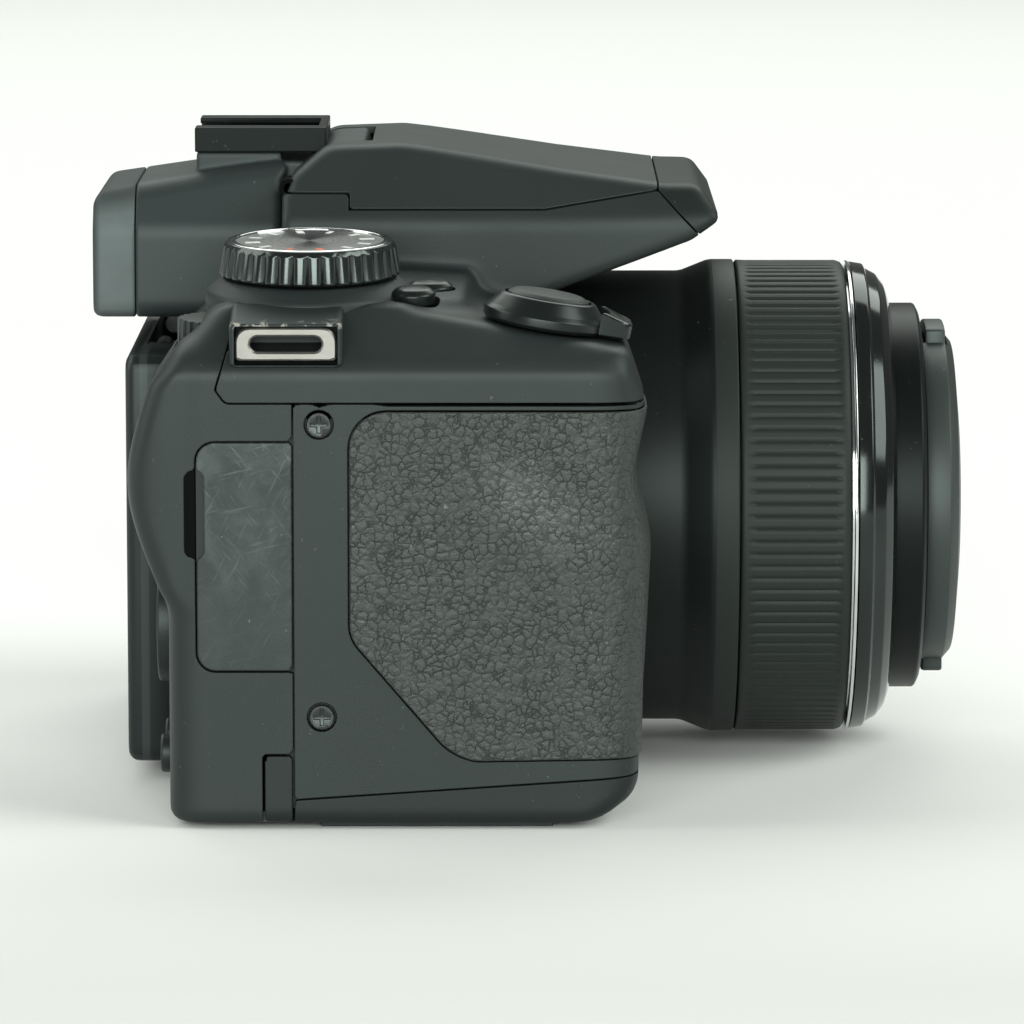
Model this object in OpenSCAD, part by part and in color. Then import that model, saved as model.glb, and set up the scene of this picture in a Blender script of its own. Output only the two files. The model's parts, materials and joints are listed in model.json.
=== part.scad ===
// Bridge camera with a long zoom lens, a pop-up flash and a tilting screen.
// Millimetres. +Z is up, the lens faces -Y, the hand grip is on the -X side.
// The origin is the mouth of the tripod socket, in the base plane under the lens axis.

/* [Body] */
// Distance from the lens axis to the grip face
grip_x = 67; // [62:0.5:73]
// Distance from the lens axis to the left face
left_x = 55.6; // [51:0.2:61]
// Distance from the tripod socket back to the rear face
rear_y = 33.4; // [31:0.2:36]
// Distance from the tripod socket forward to the front face
front_y = 14; // [12.6:0.2:15.4]
// Reach of the hand grip forward of the front face
grip_reach = 16.4; // [15:0.2:18]
// Width of the hand grip
grip_w = 22.5; // [20.5:0.1:24.5]
// Height of the shoulders above the base barrel of the lens
shoulder_rise = 5; // [4.5:0.1:5.5]
// Drop from the top of the shoulders to the crease under them
crease_drop = 11.1; // [10.1:0.1:12.1]
// Drop from the top of the shoulders to the seam under the top cover
seam_drop = 15.2; // [14:0.1:16.4]
// Distance from the rear face to the seam between the front and rear covers
seam_in = 17.4; // [16:0.1:18.6]
// Wall of the covers
wall = 1.8; // [1.6:0.05:2]
// Gap left at every seam
seam_gap = 0.24; // [0.2:0.02:0.28]
// Depth of the thumb rest behind the rear face
thumb_d = 5; // [4.4:0.2:5.6]
// Thickness of the grip rubber above the cover
rubber_t = 0.4; // [0.3:0.05:0.5]

/* [Lens] */
// Outer radius of the zoom barrel
zoom_r = 27.4; // [25:0.1:30]
// Wall of the zoom barrel
zoom_wall = 2.5; // [2.2:0.1:2.8]
// Step from the zoom barrel up to the focus ring
ring_t = 6.2; // [5.6:0.1:6.8]
// Step from the focus ring down to the base barrel
barrel_step = 1.6; // [1.4:0.1:1.8]
// Gap between the focus ring and the base plane
lens_lift = 1.8; // [1.6:0.1:2]
// Length of the base barrel in front of the front face
barrel_l = 27.4; // [25:0.1:30]
// Length from the base barrel to the front of the focus ring
ring_l = 18.8; // [17:0.1:20.6]
// Length of the gloss bezel in front of the focus ring
bezel_l = 6.1; // [5.5:0.1:6.7]
// Length of the zoom barrel in front of the bezel when it is in
zoom_out = 4.3; // [3.9:0.1:4.7]
// Step from the front barrel down to the lens cap
cap_step = 1.1; // [1:0.05:1.2]
// Thickness of the lens cap in front of the barrel
cap_t = 5.4; // [4.9:0.1:5.9]
// Number of ribs on the focus ring
ring_ribs = 60; // [54:1:66]

/* [Hump] */
// Half width of the flash hump at its foot
hump_x = 25.5; // [23.5:0.1:28]
// Height of the flash lid above the shoulders
hump_h = 15; // [13.6:0.1:16.4]
// Reach of the nose forward of the front face
nose_reach = 28; // [25.5:0.1:30.5]
// Half width of the viewfinder housing
evf_x = 18.2; // [16.6:0.1:19.6]
// Step from the flash lid down to the viewfinder roof
evf_step = 2.1; // [1.9:0.1:2.3]
// Overhang of the viewfinder housing behind the rear face
evf_over = 6; // [5.4:0.1:6.6]
// Length of the eyecup
cup_l = 6; // [5.4:0.1:6.6]
// Drop from the shoulders to the underside of the viewfinder
evf_drop = 10; // [9:0.1:11]
// Inner width of the accessory shoe
shoe_w = 18.7; // [18.6:0.05:18.8]
// Slot height of the accessory shoe
shoe_h = 2.1; // [2.05:0.05:2.2]

/* [Controls] */
// Radius of the mode dial
dial_r = 12; // [11:0.1:13]
// Height of the mode dial
dial_h = 4.8; // [4.4:0.1:5.2]
// Number of ribs on the mode dial
dial_ribs = 40; // [36:1:44]
// Radius of the zoom ring
zring_r = 8.3; // [7.8:0.1:9]
// Radius of the shutter button
shutter_r = 5.5; // [5:0.1:6]
// Travel of the shutter button
shutter_travel = 1; // [0.9:0.05:1.1]
// Radius of the two top buttons
topb_r = 3; // [2.7:0.1:3.3]
// Radius of the command dial
wheel_r = 7.6; // [7:0.1:8.2]
// Thickness of the command dial
wheel_t = 3.2; // [2.9:0.1:3.5]
// Radius of the selector pad
pad_r = 8.2; // [7.4:0.1:9]

/* [Screen] */
// Width of the screen housing
screen_w = 74; // [68:0.5:80]
// Drop from the shoulders to the top of the screen housing
screen_drop = 13.2; // [12:0.1:14.4]
// Height of the underside of the screen housing
screen_low = 2; // [1.8:0.1:2.2]
// Thickness of the screen housing
screen_t = 5.9; // [5.4:0.1:6.4]
// Distance from the grip face to the screen housing
screen_in = 37; // [35:0.2:40]

/* [Doors] */
// Drop from the seam to the top of the terminal door
door_drop = 5.1; // [4.6:0.1:5.6]
// Height of the terminal door
door_h = 30.8; // [28:0.1:34]
// Height of the power-lead flap
flap_h = 10.1; // [9.2:0.1:11]

/* [Fits] */
// Radial play of a pin in its bore
pin_play = 0.05; // [0.03:0.01:0.07]
// Gap around a button or ring
button_gap = 0.3; // [0.28:0.02:0.34]

/* [Hidden] */
$fn = 64;
far = 200;
half_gap = seam_gap / 2;
inner_r = zoom_r - zoom_wall - button_gap;
ring_r = zoom_r + ring_t;
barrel_r = ring_r - barrel_step;
cap_r = inner_r - cap_step;
lens_z = ring_r + lens_lift;
barrel_y = front_y + barrel_l;
ring_y = barrel_y + ring_l;
bezel_y = ring_y + bezel_l;
zoom_y = bezel_y + zoom_out;
zoom_y0 = barrel_y - 21.4;
front_y0 = barrel_y - 11.4;
tube_r = zoom_r + 1.6;
bore_r = zoom_r + button_gap;
grip_y = front_y + grip_reach;
grip_in_x = grip_x - grip_w;
top_z = lens_z + barrel_r + shoulder_rise;
crease_z = top_z - crease_drop;
seam_z = top_z - seam_drop;
seam_y = rear_y - seam_in;
tube_back = seam_y - 8;
hump_z = top_z + hump_h;
nose_y = front_y + nose_reach;
evf_z = hump_z - evf_step;
evf_y = rear_y + evf_over;
evf_low = top_z - evf_drop;
eye_low = evf_low + 4;
cup_z = evf_z - 4.9;
eye_top = cup_z - 4.2;
lid_py = rear_y - 22.9;
lid_seam_z = hump_z - 8.7;
lid_step_z = lid_seam_z + 2.1;
lid_foot_z = hump_z - 25.4;
lid_back_y = lid_py + 7.4;
hinge_py = lid_back_y;
hinge_pz = lid_step_z + 0.5;
hinge_px = hump_x - 7.2;
ear_r = 1.3;
evf_y0 = lid_py + 8.5;
lid_y0 = 24.5 - nose_y;
lid_y1 = 8.8 - nose_y;
lid_z1 = hump_z - 6.2;
shoe_half = shoe_w / 2;
dioptre_y = evf_y - 6.8;
dioptre_z = evf_low + 7.6;
flash_b_y = lid_py - 4.5;
flash_b_z = top_z + 2.6;
dial_x = 21 - grip_x;
dial_y = rear_y - 19.2;
dial_rise = 1.3;
shoulder_x = grip_x - 9;
shoulder_lx = left_x - 8.6;
shoulder_z = top_z - 3;
hump_foot_x = hump_x - 0.5;
top_slope = (top_z + 0.2 - shoulder_z) / (shoulder_x - hump_foot_x);
top_tilt = atan(top_slope);
deck_y0 = 21.4 - grip_y;
deck_z0 = top_z - 5.2;
deck_y1 = 2.2 - grip_y;
deck_z1 = top_z - 8.4;
deck_tilt = atan((deck_z0 - deck_z1) / (deck_y0 - deck_y1));
shut_x = 13.5 - grip_x;
shut_y = 13.2 - grip_y;
shut_z = deck_z1 + (shut_y - deck_y1) * (deck_z0 - deck_z1) / (deck_y0 - deck_y1);
wheel_x = 17 - grip_x;
wheel_y = rear_y - 9.1;
wheel_z = crease_z + 3.9;
lug_y = rear_y - 16.6;
lug_l = 13.4;
lug_gap = 0.1;
lug_wall = 0.7;
lug_end = lug_l / 2 + lug_gap;
lug_slot = lug_l / 2 - 3;
lug_z0 = crease_z + 1.6;
lug_z1 = crease_z + 6;
screen_top = top_z - screen_drop;
screen_x = screen_in - grip_x;
screen_cx = screen_x + screen_w / 2;
lug_dx = 21;
knuckle_dx = 15.6;
hinge_y = rear_y + 2.6;
hinge_lz = screen_low + 1.6;
hinge_hz = screen_top - 1.6;
screen_y = rear_y + 1;
pin_r = 0.7;
door_top = seam_z - door_drop;
door_low = door_top - door_h;
door_y = rear_y - 4.5;
door_px = 0.9 - grip_x;
door_py = seam_y + 1.1;
door_t = 1.6;
bat_px = -grip_in_x - 1.5;
bat_pz = 1.5;
bat_x0 = 2.9 - grip_x;
bat_y0 = 11.9 - grip_y;
bat_y1 = seam_y - 3.5;
latch_y0 = bat_y0 + 10.5;
cell_x0 = 3.4 - grip_x;
cell_w = grip_w - 11.3;
cell_y0 = 11.4 - grip_y;
cell_l = seam_y - 0.2 - cell_y0;
cell_z0 = 2.7;
cell_h = seam_z - 8.2;
card_x = cell_x0 + cell_w + 1.2;
card_y = cell_y0 + 7;
card_w = 24;
card_l = 32;
card_t = 2.1;
card_z0 = 2.8;
chamber_w = grip_w - 5.9;
chamber_x0 = 2.3 - grip_x;
chamber_y0 = 10.1 - grip_y;
chamber_l = seam_y + 1.1 - chamber_y0;
chamber_z0 = 2.6;
chamber_h = seam_z - 4.8;

// Outline tools. A corner is [u, v, r]: a point and its rounding.
function xy(p) = [p[0], p[1]];
function rad(p) = len(p) > 2 ? p[2] : 0;
function unit(v) = v / norm(v);
function area2(p, i = 0) = i >= len(p) ? 0 :
    p[i][0] * p[(i + 1) % len(p)][1] - p[(i + 1) % len(p)][0] * p[i][1] + area2(p, i + 1);
function left_of(d) = [-d[1], d[0]];
function meet(a, d, b,
    e) = a + d * ((b[0] - a[0]) * e[1] - (b[1] - a[1]) * e[0]) / (d[0] * e[1] - d[1] * e[0]);
function turn(a, b, c) = (b[0] - a[0]) * (c[1] - b[1]) - (b[1] - a[1]) * (c[0] - b[0]);
function moved(a, b, c, t) = let (d = unit(b - a), e = unit(c - b))
    abs(d[0] * e[1] - d[1] * e[0]) < 0.001 ? b + left_of(d) * t
    : meet(a + left_of(d) * t, d, b + left_of(e) * t, e);
// Corners moved in by t, with their rounding kept concentric
function inset(p, t) = let (s = area2(p) > 0 ? 1 : -1, n = len(p))
    [for (i = [0 : n - 1]) let (a = xy(p[(i + n - 1) % n]), b = xy(p[i]), c = xy(p[(i + 1) % n]),
        m = moved(a, b, c, t * s), k = turn(a, b, c) * s > 0 ? -1 : 1)
        [m[0], m[1], rad(p[i]) > 0 ? max(rad(p[i]) + k * t, 0.3) : 0]];
function arc(a, b, c, r, n) = let (u = unit(a - b), v = unit(c - b), h = acos(u * v) / 2,
    o = b + unit(u + v) * r / sin(h), p = b + u * r / tan(h), q = b + v * r / tan(h),
    s = atan2(p[1] - o[1], p[0] - o[0]), w = atan2(q[1] - o[1], q[0] - o[0]) - s,
    g = w > 180 ? w - 360 : w < -180 ? w + 360 : w)
    [for (k = [0 : n]) o + r * [cos(s + g * k / n), sin(s + g * k / n)]];
function rounded(p) = let (n = len(p)) [for (i = [0 : n - 1])
    let (a = xy(p[(i + n - 1) % n]), b = xy(p[i]), c = xy(p[(i + 1) % n]), r = rad(p[i]))
    each r > 0 ? arc(a, b, c, r, r > 3 ? 4 : 3) : [b]];

// Prisms along each axis, from an outline in the other two
module along_x(x0, x1) {
    multmatrix([[0, 0, 1, x0], [1, 0, 0, 0], [0, 1, 0, 0], [0, 0, 0, 1]])
        linear_extrude(x1 - x0) children();
}
module along_y(y0, y1) {
    multmatrix([[1, 0, 0, 0], [0, 0, -1, y1], [0, 1, 0, 0], [0, 0, 0, 1]])
        linear_extrude(y1 - y0) children();
}
module outline(p, t = 0) {
    polygon(rounded(inset(p, t)));
}
module block(x0, x1, y0, y1, z0, z1) {
    translate([x0, y0, z0]) cube([x1 - x0, y1 - y0, z1 - z0]);
}
module rod_x(r, x0, x1, y, z) {
    translate([x0, y, z]) rotate([0, 90, 0]) cylinder(r = r, h = x1 - x0);
}
module rod_y(r, x, y0, y1, z) {
    translate([x, y0, z]) rotate([-90, 0, 0]) cylinder(r = r, h = y1 - y0);
}
module rod_z(r, x, y, z0, z1) {
    translate([x, y, z0]) cylinder(r = r, h = z1 - z0);
}
// A solid turned about the lens axis, from [radius, distance forward] points
module lens_turned(p) {
    translate([0, 0, lens_z]) rotate([90, 0, 0]) rotate_extrude() polygon(p);
}

// Body outlines
side_points = [[rear_y, 0, 2.5], [rear_y, crease_z - 0.3, 2], [rear_y - 9.4, top_z, 2],
    [deck_y0 + 11, top_z - 1.4, 4],
    [deck_y0 + 3, top_z - 3.6, 2], [deck_y0, deck_z0, 2], [deck_y1, deck_z1, 1.2],
        [-grip_y, seam_z - 0.2, 4],
    [1.5 - grip_y, seam_z - 8.8, 9], [-0.6 - grip_y, seam_z - 18.2, 12],
    [0.2 - grip_y, seam_z - 38.2, 12], [0.5 - grip_y, 4.6, 4],
    [11 - grip_y, 0, 8]];
plan_points = [[left_x, rear_y, 7], [left_x, -front_y, 10], [4.5 - grip_in_x, -front_y, 3],
    [-grip_in_x, -grip_y - 0.8, 7], [-grip_x, -grip_y - 0.8, 9], [-grip_x, rear_y, 6]];
front_points = [[-grip_x, 0, 2.5], [-grip_x, crease_z, 1.5], [-shoulder_x, shoulder_z, 3],
    [-hump_foot_x, top_z + 0.2], [hump_foot_x, top_z + 0.2], [shoulder_lx, shoulder_z, 3],
    [left_x, crease_z, 1.5],
    [left_x, 0, 2.5]];
thumb_points = [[rear_y - 3, crease_z - 31.3], [rear_y, crease_z - 30.3, 4],
    [rear_y + thumb_d, crease_z - 15.3, 12],
    [rear_y + 1.4, crease_z - 1.7, 2], [rear_y - 3, crease_z + 2.7]];
thumb_plan = [[-grip_x, 0], [24.5 - grip_x, 0], [24.5 - grip_x, rear_y + thumb_d + 0.6, 4],
    [-grip_x, rear_y + thumb_d + 0.6, 6]];
hump_points = [[evf_y0 - 0.2, lid_foot_z], [evf_y0 - 0.2, lid_step_z], [lid_back_y, lid_step_z],
    [lid_back_y, hump_z - 4.8, 2.5],
    [lid_back_y - 5.3, hump_z - 0.5, 4.5], [lid_py - 8.1, hump_z, 3],
    [22.4 - nose_y, hump_z - 3.5, 3], [8 - nose_y, hump_z - 5.4, 3], [3.2 - nose_y, hump_z - 5.5, 2.2],
    [-nose_y, hump_z - 10, 1.2],
    [4.2 - nose_y, hump_z - 13, 2], [3 - front_y, hump_z - 23], [3 - front_y, lid_foot_z]];
hump_front = [[-hump_x, lid_foot_z - 2], [hump_x, lid_foot_z - 2], [hump_x, hump_z - 10.4, 4],
    [hump_x - 8.5, hump_z + 0.6, 4],
    [8.5 - hump_x, hump_z + 0.6, 4], [-hump_x, hump_z - 10.4, 4]];
evf_side = [[evf_y0, evf_low], [evf_y, evf_low], [evf_y, evf_z - 4.6, 1.5], [rear_y - 8, evf_z, 4],
    [evf_y0, evf_z]];
evf_front = [[-evf_x, evf_low, 3], [evf_x, evf_low, 3], [evf_x, evf_z - 10, 5], [evf_x - 6, evf_z, 4],
    [6 - evf_x, evf_z, 4], [-evf_x, evf_z - 10, 5]];
cup_side = [[evf_y + half_gap, evf_low + 0.2], [evf_y + cup_l, evf_low + 0.2, 2.5],
    [evf_y + cup_l, cup_z - 0.3, 3.5], [evf_y + half_gap, cup_z + 0.2]];
cup_front = [[0.4 - evf_x, evf_low + 0.2, 3], [evf_x - 0.4, evf_low + 0.2, 3],
    [evf_x - 0.4, evf_z - 10.2, 5],
    [evf_x - 3.5, cup_z + 0.1, 4], [3.5 - evf_x, cup_z + 0.1, 4], [0.4 - evf_x, evf_z - 10.2, 5]];
top_region = [[-far, seam_z], [rear_y - 8.5, seam_z, 1.2], [rear_y - 7.2, seam_z + 1.8],
    [rear_y - 11.4, top_z + 0.6],
    [rear_y - 11.4, far], [-far, far]];
base_region = [[-80, -9], [seam_y, -9], [seam_y, 4], [-80, 10.5]];
lid_region = [[far, lid_step_z], [lid_py - 1, lid_step_z], [lid_py - 1, lid_seam_z], [lid_y0, lid_seam_z],
    [lid_y1, lid_z1], [lid_y1 - 0.8, far], [far, far]];
nose_region = [[lid_y1 - 0.8, far], [lid_y1, lid_z1], [2.4 - nose_y, hump_z - 13],
    [2.4 - nose_y, lid_foot_z - 2],
    [-far, lid_foot_z - 2], [-far, far]];
rubber_points = [[seam_y - 7.4, seam_z - 31.4, 5], [seam_y - 7.4, seam_z - 1, 5], [-far, seam_z - 1],
    [-far, 10],
    [deck_y0 + 1, 9.2, 4], [deck_y0 + 4.4, 10.4, 8]];

module body_solid(t = 0, thumb = true) {
    intersection() {
        along_y(-far, far) outline(front_points, t);
        union() {
            intersection() {
                along_x(-far, far) outline(side_points, t);
                translate([0, 0, -far]) linear_extrude(2 * far) outline(plan_points, t);
            }
            if (thumb) intersection() {
                along_x(-far, 27 - grip_x) outline(thumb_points, t);
                translate([0, 0, -far]) linear_extrude(2 * far) outline(thumb_plan, t);
            }
        }
    }
}
module body_shell() {
    difference() {
        body_solid();
        body_solid(wall, false);
    }
}
module hump_solid(t = 0) {
    intersection() {
        along_x(-far, far) outline(hump_points, t);
        along_y(-far, far) outline(hump_front, t);
    }
}
module evf_solid(t = 0) {
    intersection() {
        along_x(-far, far) outline(evf_side, t);
        along_y(-far, far) outline(evf_front, t);
    }
}
module evf_space() {
    evf_solid(-half_gap);
}
module on_dial() {
    translate([dial_x, dial_y, shoulder_z + (dial_x + shoulder_x) * top_slope + dial_rise])
        rotate([0, -top_tilt / 2, 0]) children();
}
// Round seat under the mode dial
module dial_seat() {
    on_dial() translate([0, 0, -3]) cylinder(r = dial_r - 0.6, h = 3);
}
module on_deck() {
    translate([shut_x, shut_y, shut_z]) rotate([deck_tilt, 0, 0]) children();
}
module on_top(x, y, z) {
    translate([x, y, z]) rotate([0, -top_tilt, 0]) children();
}
// Places of the two top buttons: [x, y, z of the surface]
power_x = 14.4 - grip_x;
power_at = [power_x, deck_y0 + 9.2, shoulder_z + (shoulder_x + power_x) * top_slope];
exposure_at = [23 - grip_x, deck_y0 + 7, top_z - 2.5];
// Places of the rear buttons: [x, z]
pad_at = [17 - grip_x, crease_z - 35.7];
play_at = [31 - grip_x, crease_z - 17.3];
menu_at = [11.5 - grip_x, 8.4];
display_at = [23.5 - grip_x, 8.4];
// Places of the side screws: [y, z]
side_screws = [[seam_y - 3.5, seam_z - 2.8], [seam_y - 3.75, 15.2]];
// Places of the base screws: [x, y]
base_screws = [[left_x - 7.6, 8 - front_y], [left_x - 7.6, seam_y - 4], [8.5 - grip_in_x, 6 - front_y],
    [left_x - 27.6, seam_y - 6]];
screw_r = 1.6;
shank_r = 0.9;

module front_cover() {
    color("#45494b") difference() {
        intersection() {
            body_shell();
            block(-far, far, -far, seam_y - half_gap, -far, far);
        }
        along_x(-far, far) outline(top_region, -half_gap);
        along_x(-far, far) outline(base_region, -half_gap);
        rod_y(tube_r + button_gap, 0, -far, 5, lens_z);
        evf_space();
        for (s = side_screws) {
            rod_x(screw_r + 0.15, -far, -grip_x + 1.2, s[0], s[1]);
            rod_x(shank_r + 0.1, -far, -grip_x + 4, s[0], s[1]);
        }
    }
}
module rear_cover() {
    color("#45494b") difference() {
        union() {
            intersection() {
                body_shell();
                block(-far, far, seam_y + half_gap, far, -far, far);
            }
            for (x = [screen_cx - lug_dx, screen_cx + lug_dx]) {
                hinge_lug(x);
            }
            intersection() {
                dial_seat();
                block(-far, far, rear_y - 13, far, -far, far);
            }
            block(wheel_x - 4, wheel_x + 4, wheel_y - 3.8, rear_y - 2.2, wheel_z - wheel_t / 2 - 2.8,
                wheel_z - wheel_t / 2 - 0.5);
        }
        along_x(-far, far) outline(top_region, -half_gap);
        evf_space();
        door_cut();
        finger_pull();
        flap_cut();
        block(wheel_x - wheel_r - 0.4, wheel_x + wheel_r + 0.4, wheel_y - 6.3, far,
            wheel_z - wheel_t / 2 - button_gap,
            wheel_z + wheel_t / 2 + button_gap);
        rod_z(1.5 + pin_play, wheel_x, wheel_y, wheel_z - 5, wheel_z);
        rod_y(pad_r + button_gap, pad_at[0], rear_y - wall - 1, far, pad_at[1]);
        for (b = [play_at, menu_at, display_at]) {
            rod_y(2.6 + button_gap, b[0], rear_y - wall - 1, far, b[1]);
        }
    }
}
// Fixed lug of the screen hinge, with its bore
module hinge_lug(x) {
    difference() {
        union() {
            rod_x(1.4, x - 2, x + 2, hinge_y, hinge_lz);
            block(x - 2, x + 2, rear_y - 0.4, hinge_y, hinge_lz - 1.2, hinge_lz + 1.2);
        }
        rod_x(pin_r + pin_play, x - 3, x + 3, hinge_y, hinge_lz);
    }
}
module base_cover() {
    color("#303335") difference() {
        union() {
            intersection() {
                body_shell();
                along_x(-far, far) outline(base_region, half_gap);
            }
            for (y = [bat_y0 - 2.4, bat_y1 - 0.6]) {
                block(bat_px - 1.6, bat_px + 1.8, y, y + 3, wall - 0.6, bat_pz + 1.5);
            }
        }
        rod_z(7 + half_gap, 0, 0, -1, wall + 1);
        rod_y(tube_r + button_gap, 0, -far, 5, lens_z);
        block(bat_x0 - half_gap, bat_px + 2.4, bat_y0 - half_gap, bat_y1 + half_gap, -1, wall + 2);
        rod_y(pin_r + pin_play, bat_px, bat_y0 - 1.6, bat_y1 + 1.6, bat_pz);
        for (s = base_screws) {
            rod_z(screw_r + 0.15, s[0], s[1], -1, 1);
            rod_z(shank_r + 0.1, s[0], s[1], -1, wall + 1);
        }
    }
}
// Barrel along the inner edge of the battery door
module battery_knuckle() {
    rod_y(1.2, bat_px, bat_y0 + 0.3, bat_y1 - 0.3, bat_pz);
}
module top_cover() {
    color("#45494b") difference() {
        union() {
            difference() {
                intersection() {
                    body_shell();
                    along_x(-far, far) outline(top_region, half_gap);
                }
                for (s = [-1, 1]) {
                    lug_window(s);
                }
            }
            difference() {
                hump_solid();
                hump_solid(wall);
                body_solid();
                along_x(-far, far) outline(lid_region, -half_gap);
                along_x(-far, far) outline(nose_region, -half_gap);
                for (s = [-1, 1]) {
                    at_hinge(s) rod_x(ear_r + button_gap, -2.8, 3, hinge_py, hinge_pz);
                }
            }
            for (s = [-1, 1]) {
                at_hinge(s) flash_knuckle();
                intersection() {
                    lug_boss(s);
                    along_x(-far, far) outline(top_region, half_gap);
                }
            }
            intersection() {
                dial_seat();
                along_x(-far, far) outline(top_region, half_gap);
            }
        }
        evf_space();
        for (s = [-1, 1]) {
            at_hinge(s) rod_x(pin_r + pin_play, -2.8, 2.8, hinge_py, hinge_pz);
        }
        on_dial() cylinder(r = 2.5 + pin_play, h = 20, center = true);
        on_deck() cylinder(r = 4 + button_gap, h = 20, center = true);
        on_top(power_at[0], power_at[1], power_at[2]) cylinder(r = topb_r + button_gap, h = 20,
            center = true);
        on_top(exposure_at[0], exposure_at[1], exposure_at[2]) cylinder(r = topb_r + button_gap, h = 20,
            center = true);
        block(wheel_x - wheel_r - 0.4, wheel_x + wheel_r + 0.4, wheel_y - wheel_r - 0.7, far,
            wheel_z - wheel_t / 2 - button_gap,
            wheel_z + wheel_t / 2 + button_gap);
        rod_x(2.6 + button_gap, hump_x - 4, hump_x + 4, flash_b_y, flash_b_z);
        rod_y(barrel_r + button_gap, 0, -far, 5, lens_z);
    }
}
// Place of a flash hinge: its middle plane is the origin of X
module at_hinge(s) {
    mirror([s > 0 ? 0 : 1, 0, 0]) translate([hinge_px, 0, 0]) children();
}
// Fixed knuckle of the flash hinge, standing on the back wall of the hump
module flash_knuckle() {
    rod_x(ear_r, -0.8, 0.8, hinge_py, hinge_pz);
    block(-0.8, 0.8, hinge_py - 0.8, evf_y0 - 0.2, lid_step_z - 3, hinge_pz);
}
// Housing of a strap lug, standing on the shoulder slope
module lug_boss(s) {
    e = s > 0 ? left_x : grip_x;
    mirror([s > 0 ? 0 : 1, 0, 0]) difference() {
        along_y(lug_y - lug_end - lug_wall, lug_y + lug_end + lug_wall)
            outline([[e - 9, crease_z + 4], [e - 1.2, crease_z + 0.7], [e - 0.3, crease_z + 1],
                [e - 0.3, lug_z1 + 0.3, 0.6], [e - 6.6, lug_z1 + 2]]);
        along_y(lug_y - lug_end, lug_y + lug_end)
            polygon([[e + 1, crease_z + 1], [e + 1, lug_z1 + half_gap], [e - 4.6, lug_z1 + half_gap],
                [e - 4.6, crease_z + 3.6], [e - 2.6, crease_z + 1]]);
    }
}
module lug_window(s) {
    e = s > 0 ? left_x : grip_x;
    mirror([s > 0 ? 0 : 1, 0, 0])
        block(e - 2.6, e + 1, lug_y - lug_end, lug_y + lug_end, crease_z + 1, lug_z1);
}
module strap_lugs() {
    color("#b9bcbd") for (s = [-1, 1]) {
        e = s > 0 ? left_x : grip_x;
        mirror([s > 0 ? 0 : 1, 0, 0]) difference() {
            along_x(e - 2.2, e - 0.6) outline([[lug_y - lug_l / 2, lug_z0, 0.6],
                [lug_y + lug_l / 2, lug_z0, 0.6],
                [lug_y + lug_l / 2, lug_z1, 1], [lug_y - lug_l / 2, lug_z1, 1]]);
            along_x(e - 3, e) union() {
                translate([lug_y - lug_slot, lug_z0 + 2.2]) circle(r = 1.05);
                translate([lug_y + lug_slot, lug_z0 + 2.2]) circle(r = 1.05);
                translate([lug_y - lug_slot, lug_z0 + 1.15]) square([2 * lug_slot, 2.1]);
            }
        }
    }
}
module grip_rubber() {
    color("#2a2c2d") difference() {
        intersection() {
            body_solid(-rubber_t, false);
            along_x(-far, -grip_in_x - 2) outline(rubber_points);
        }
        body_solid(-0.05, false);
    }
}
module nose_panel() {
    color("#1b1d1e") difference() {
        intersection() {
            hump_solid();
            along_x(-far, far) outline(nose_region, half_gap);
        }
        hump_solid(wall);
        along_x(-far, far) outline(lid_region, -half_gap);
    }
}
module viewfinder_housing() {
    color("#45494b") difference() {
        union() {
            difference() {
                evf_solid();
                evf_solid(1.6);
            }
            block(-shoe_half - 1.25, shoe_half + 1.25, lid_py - 3.3, evf_y0 + 0.5, evf_z - 2.2,
                evf_z - 0.2);
            block(-shoe_half - 0.6, shoe_half + 0.6, evf_y0 + 0.3, rear_y - 2.2, evf_z - 4.4, evf_z);
        }
        block(-12, 12, evf_y - 4, evf_y + 1, eye_low, eye_top);
        rod_x(4 + button_gap, evf_x - 5, evf_x + 5, dioptre_y, dioptre_z);
    }
}
module eyecup() {
    color("#232526") difference() {
        intersection() {
            along_x(-far, far) outline(cup_side);
            along_y(-far, far) outline(cup_front);
        }
        block(-11.8, 11.8, evf_y - 1, evf_y + cup_l + 1, eye_low + 0.2, eye_top - 0.2);
        along_y(evf_y + 2.4, evf_y + cup_l + 1) outline(cup_front, 2.8);
    }
}
module eyepiece_lens() {
    color("#20262b") along_y(evf_y - 1, evf_y + 1.6) outline([[-11.6, eye_low + 0.4, 2],
        [11.6, eye_low + 0.4, 2],
        [11.6, eye_top - 0.4, 2], [-11.6, eye_top - 0.4, 2]]);
}
module dioptre_dial() {
    color("#2b2d2e") union() {
        rod_x(4, evf_x - 1.6, evf_x + 0.8, dioptre_y, dioptre_z);
        rod_x(4.8, evf_x - 3.2, evf_x - 1.9, dioptre_y, dioptre_z);
        rod_x(2, evf_x - 2.2, evf_x - 1.4, dioptre_y, dioptre_z);
    }
}
module hot_shoe() {
    shoe_y0 = lid_py + 2.5;
    shoe_y1 = rear_y - 2;
    shoe_x = shoe_w / 2 + 1;
    shoe_z = evf_z + 0.5;
    shoe_top = shoe_z + shoe_h + 0.9;
    color("#3a3d3f") difference() {
        block(-shoe_x, shoe_x, shoe_y0, shoe_y1, evf_z + 0.05, shoe_top);
        block(-shoe_w / 2, shoe_w / 2, shoe_y0 + 1.2, far, shoe_z, shoe_z + shoe_h);
        block(-6.25, 6.25, shoe_y0 + 1.2, far, shoe_z, shoe_top + 1);
    }
}
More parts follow.
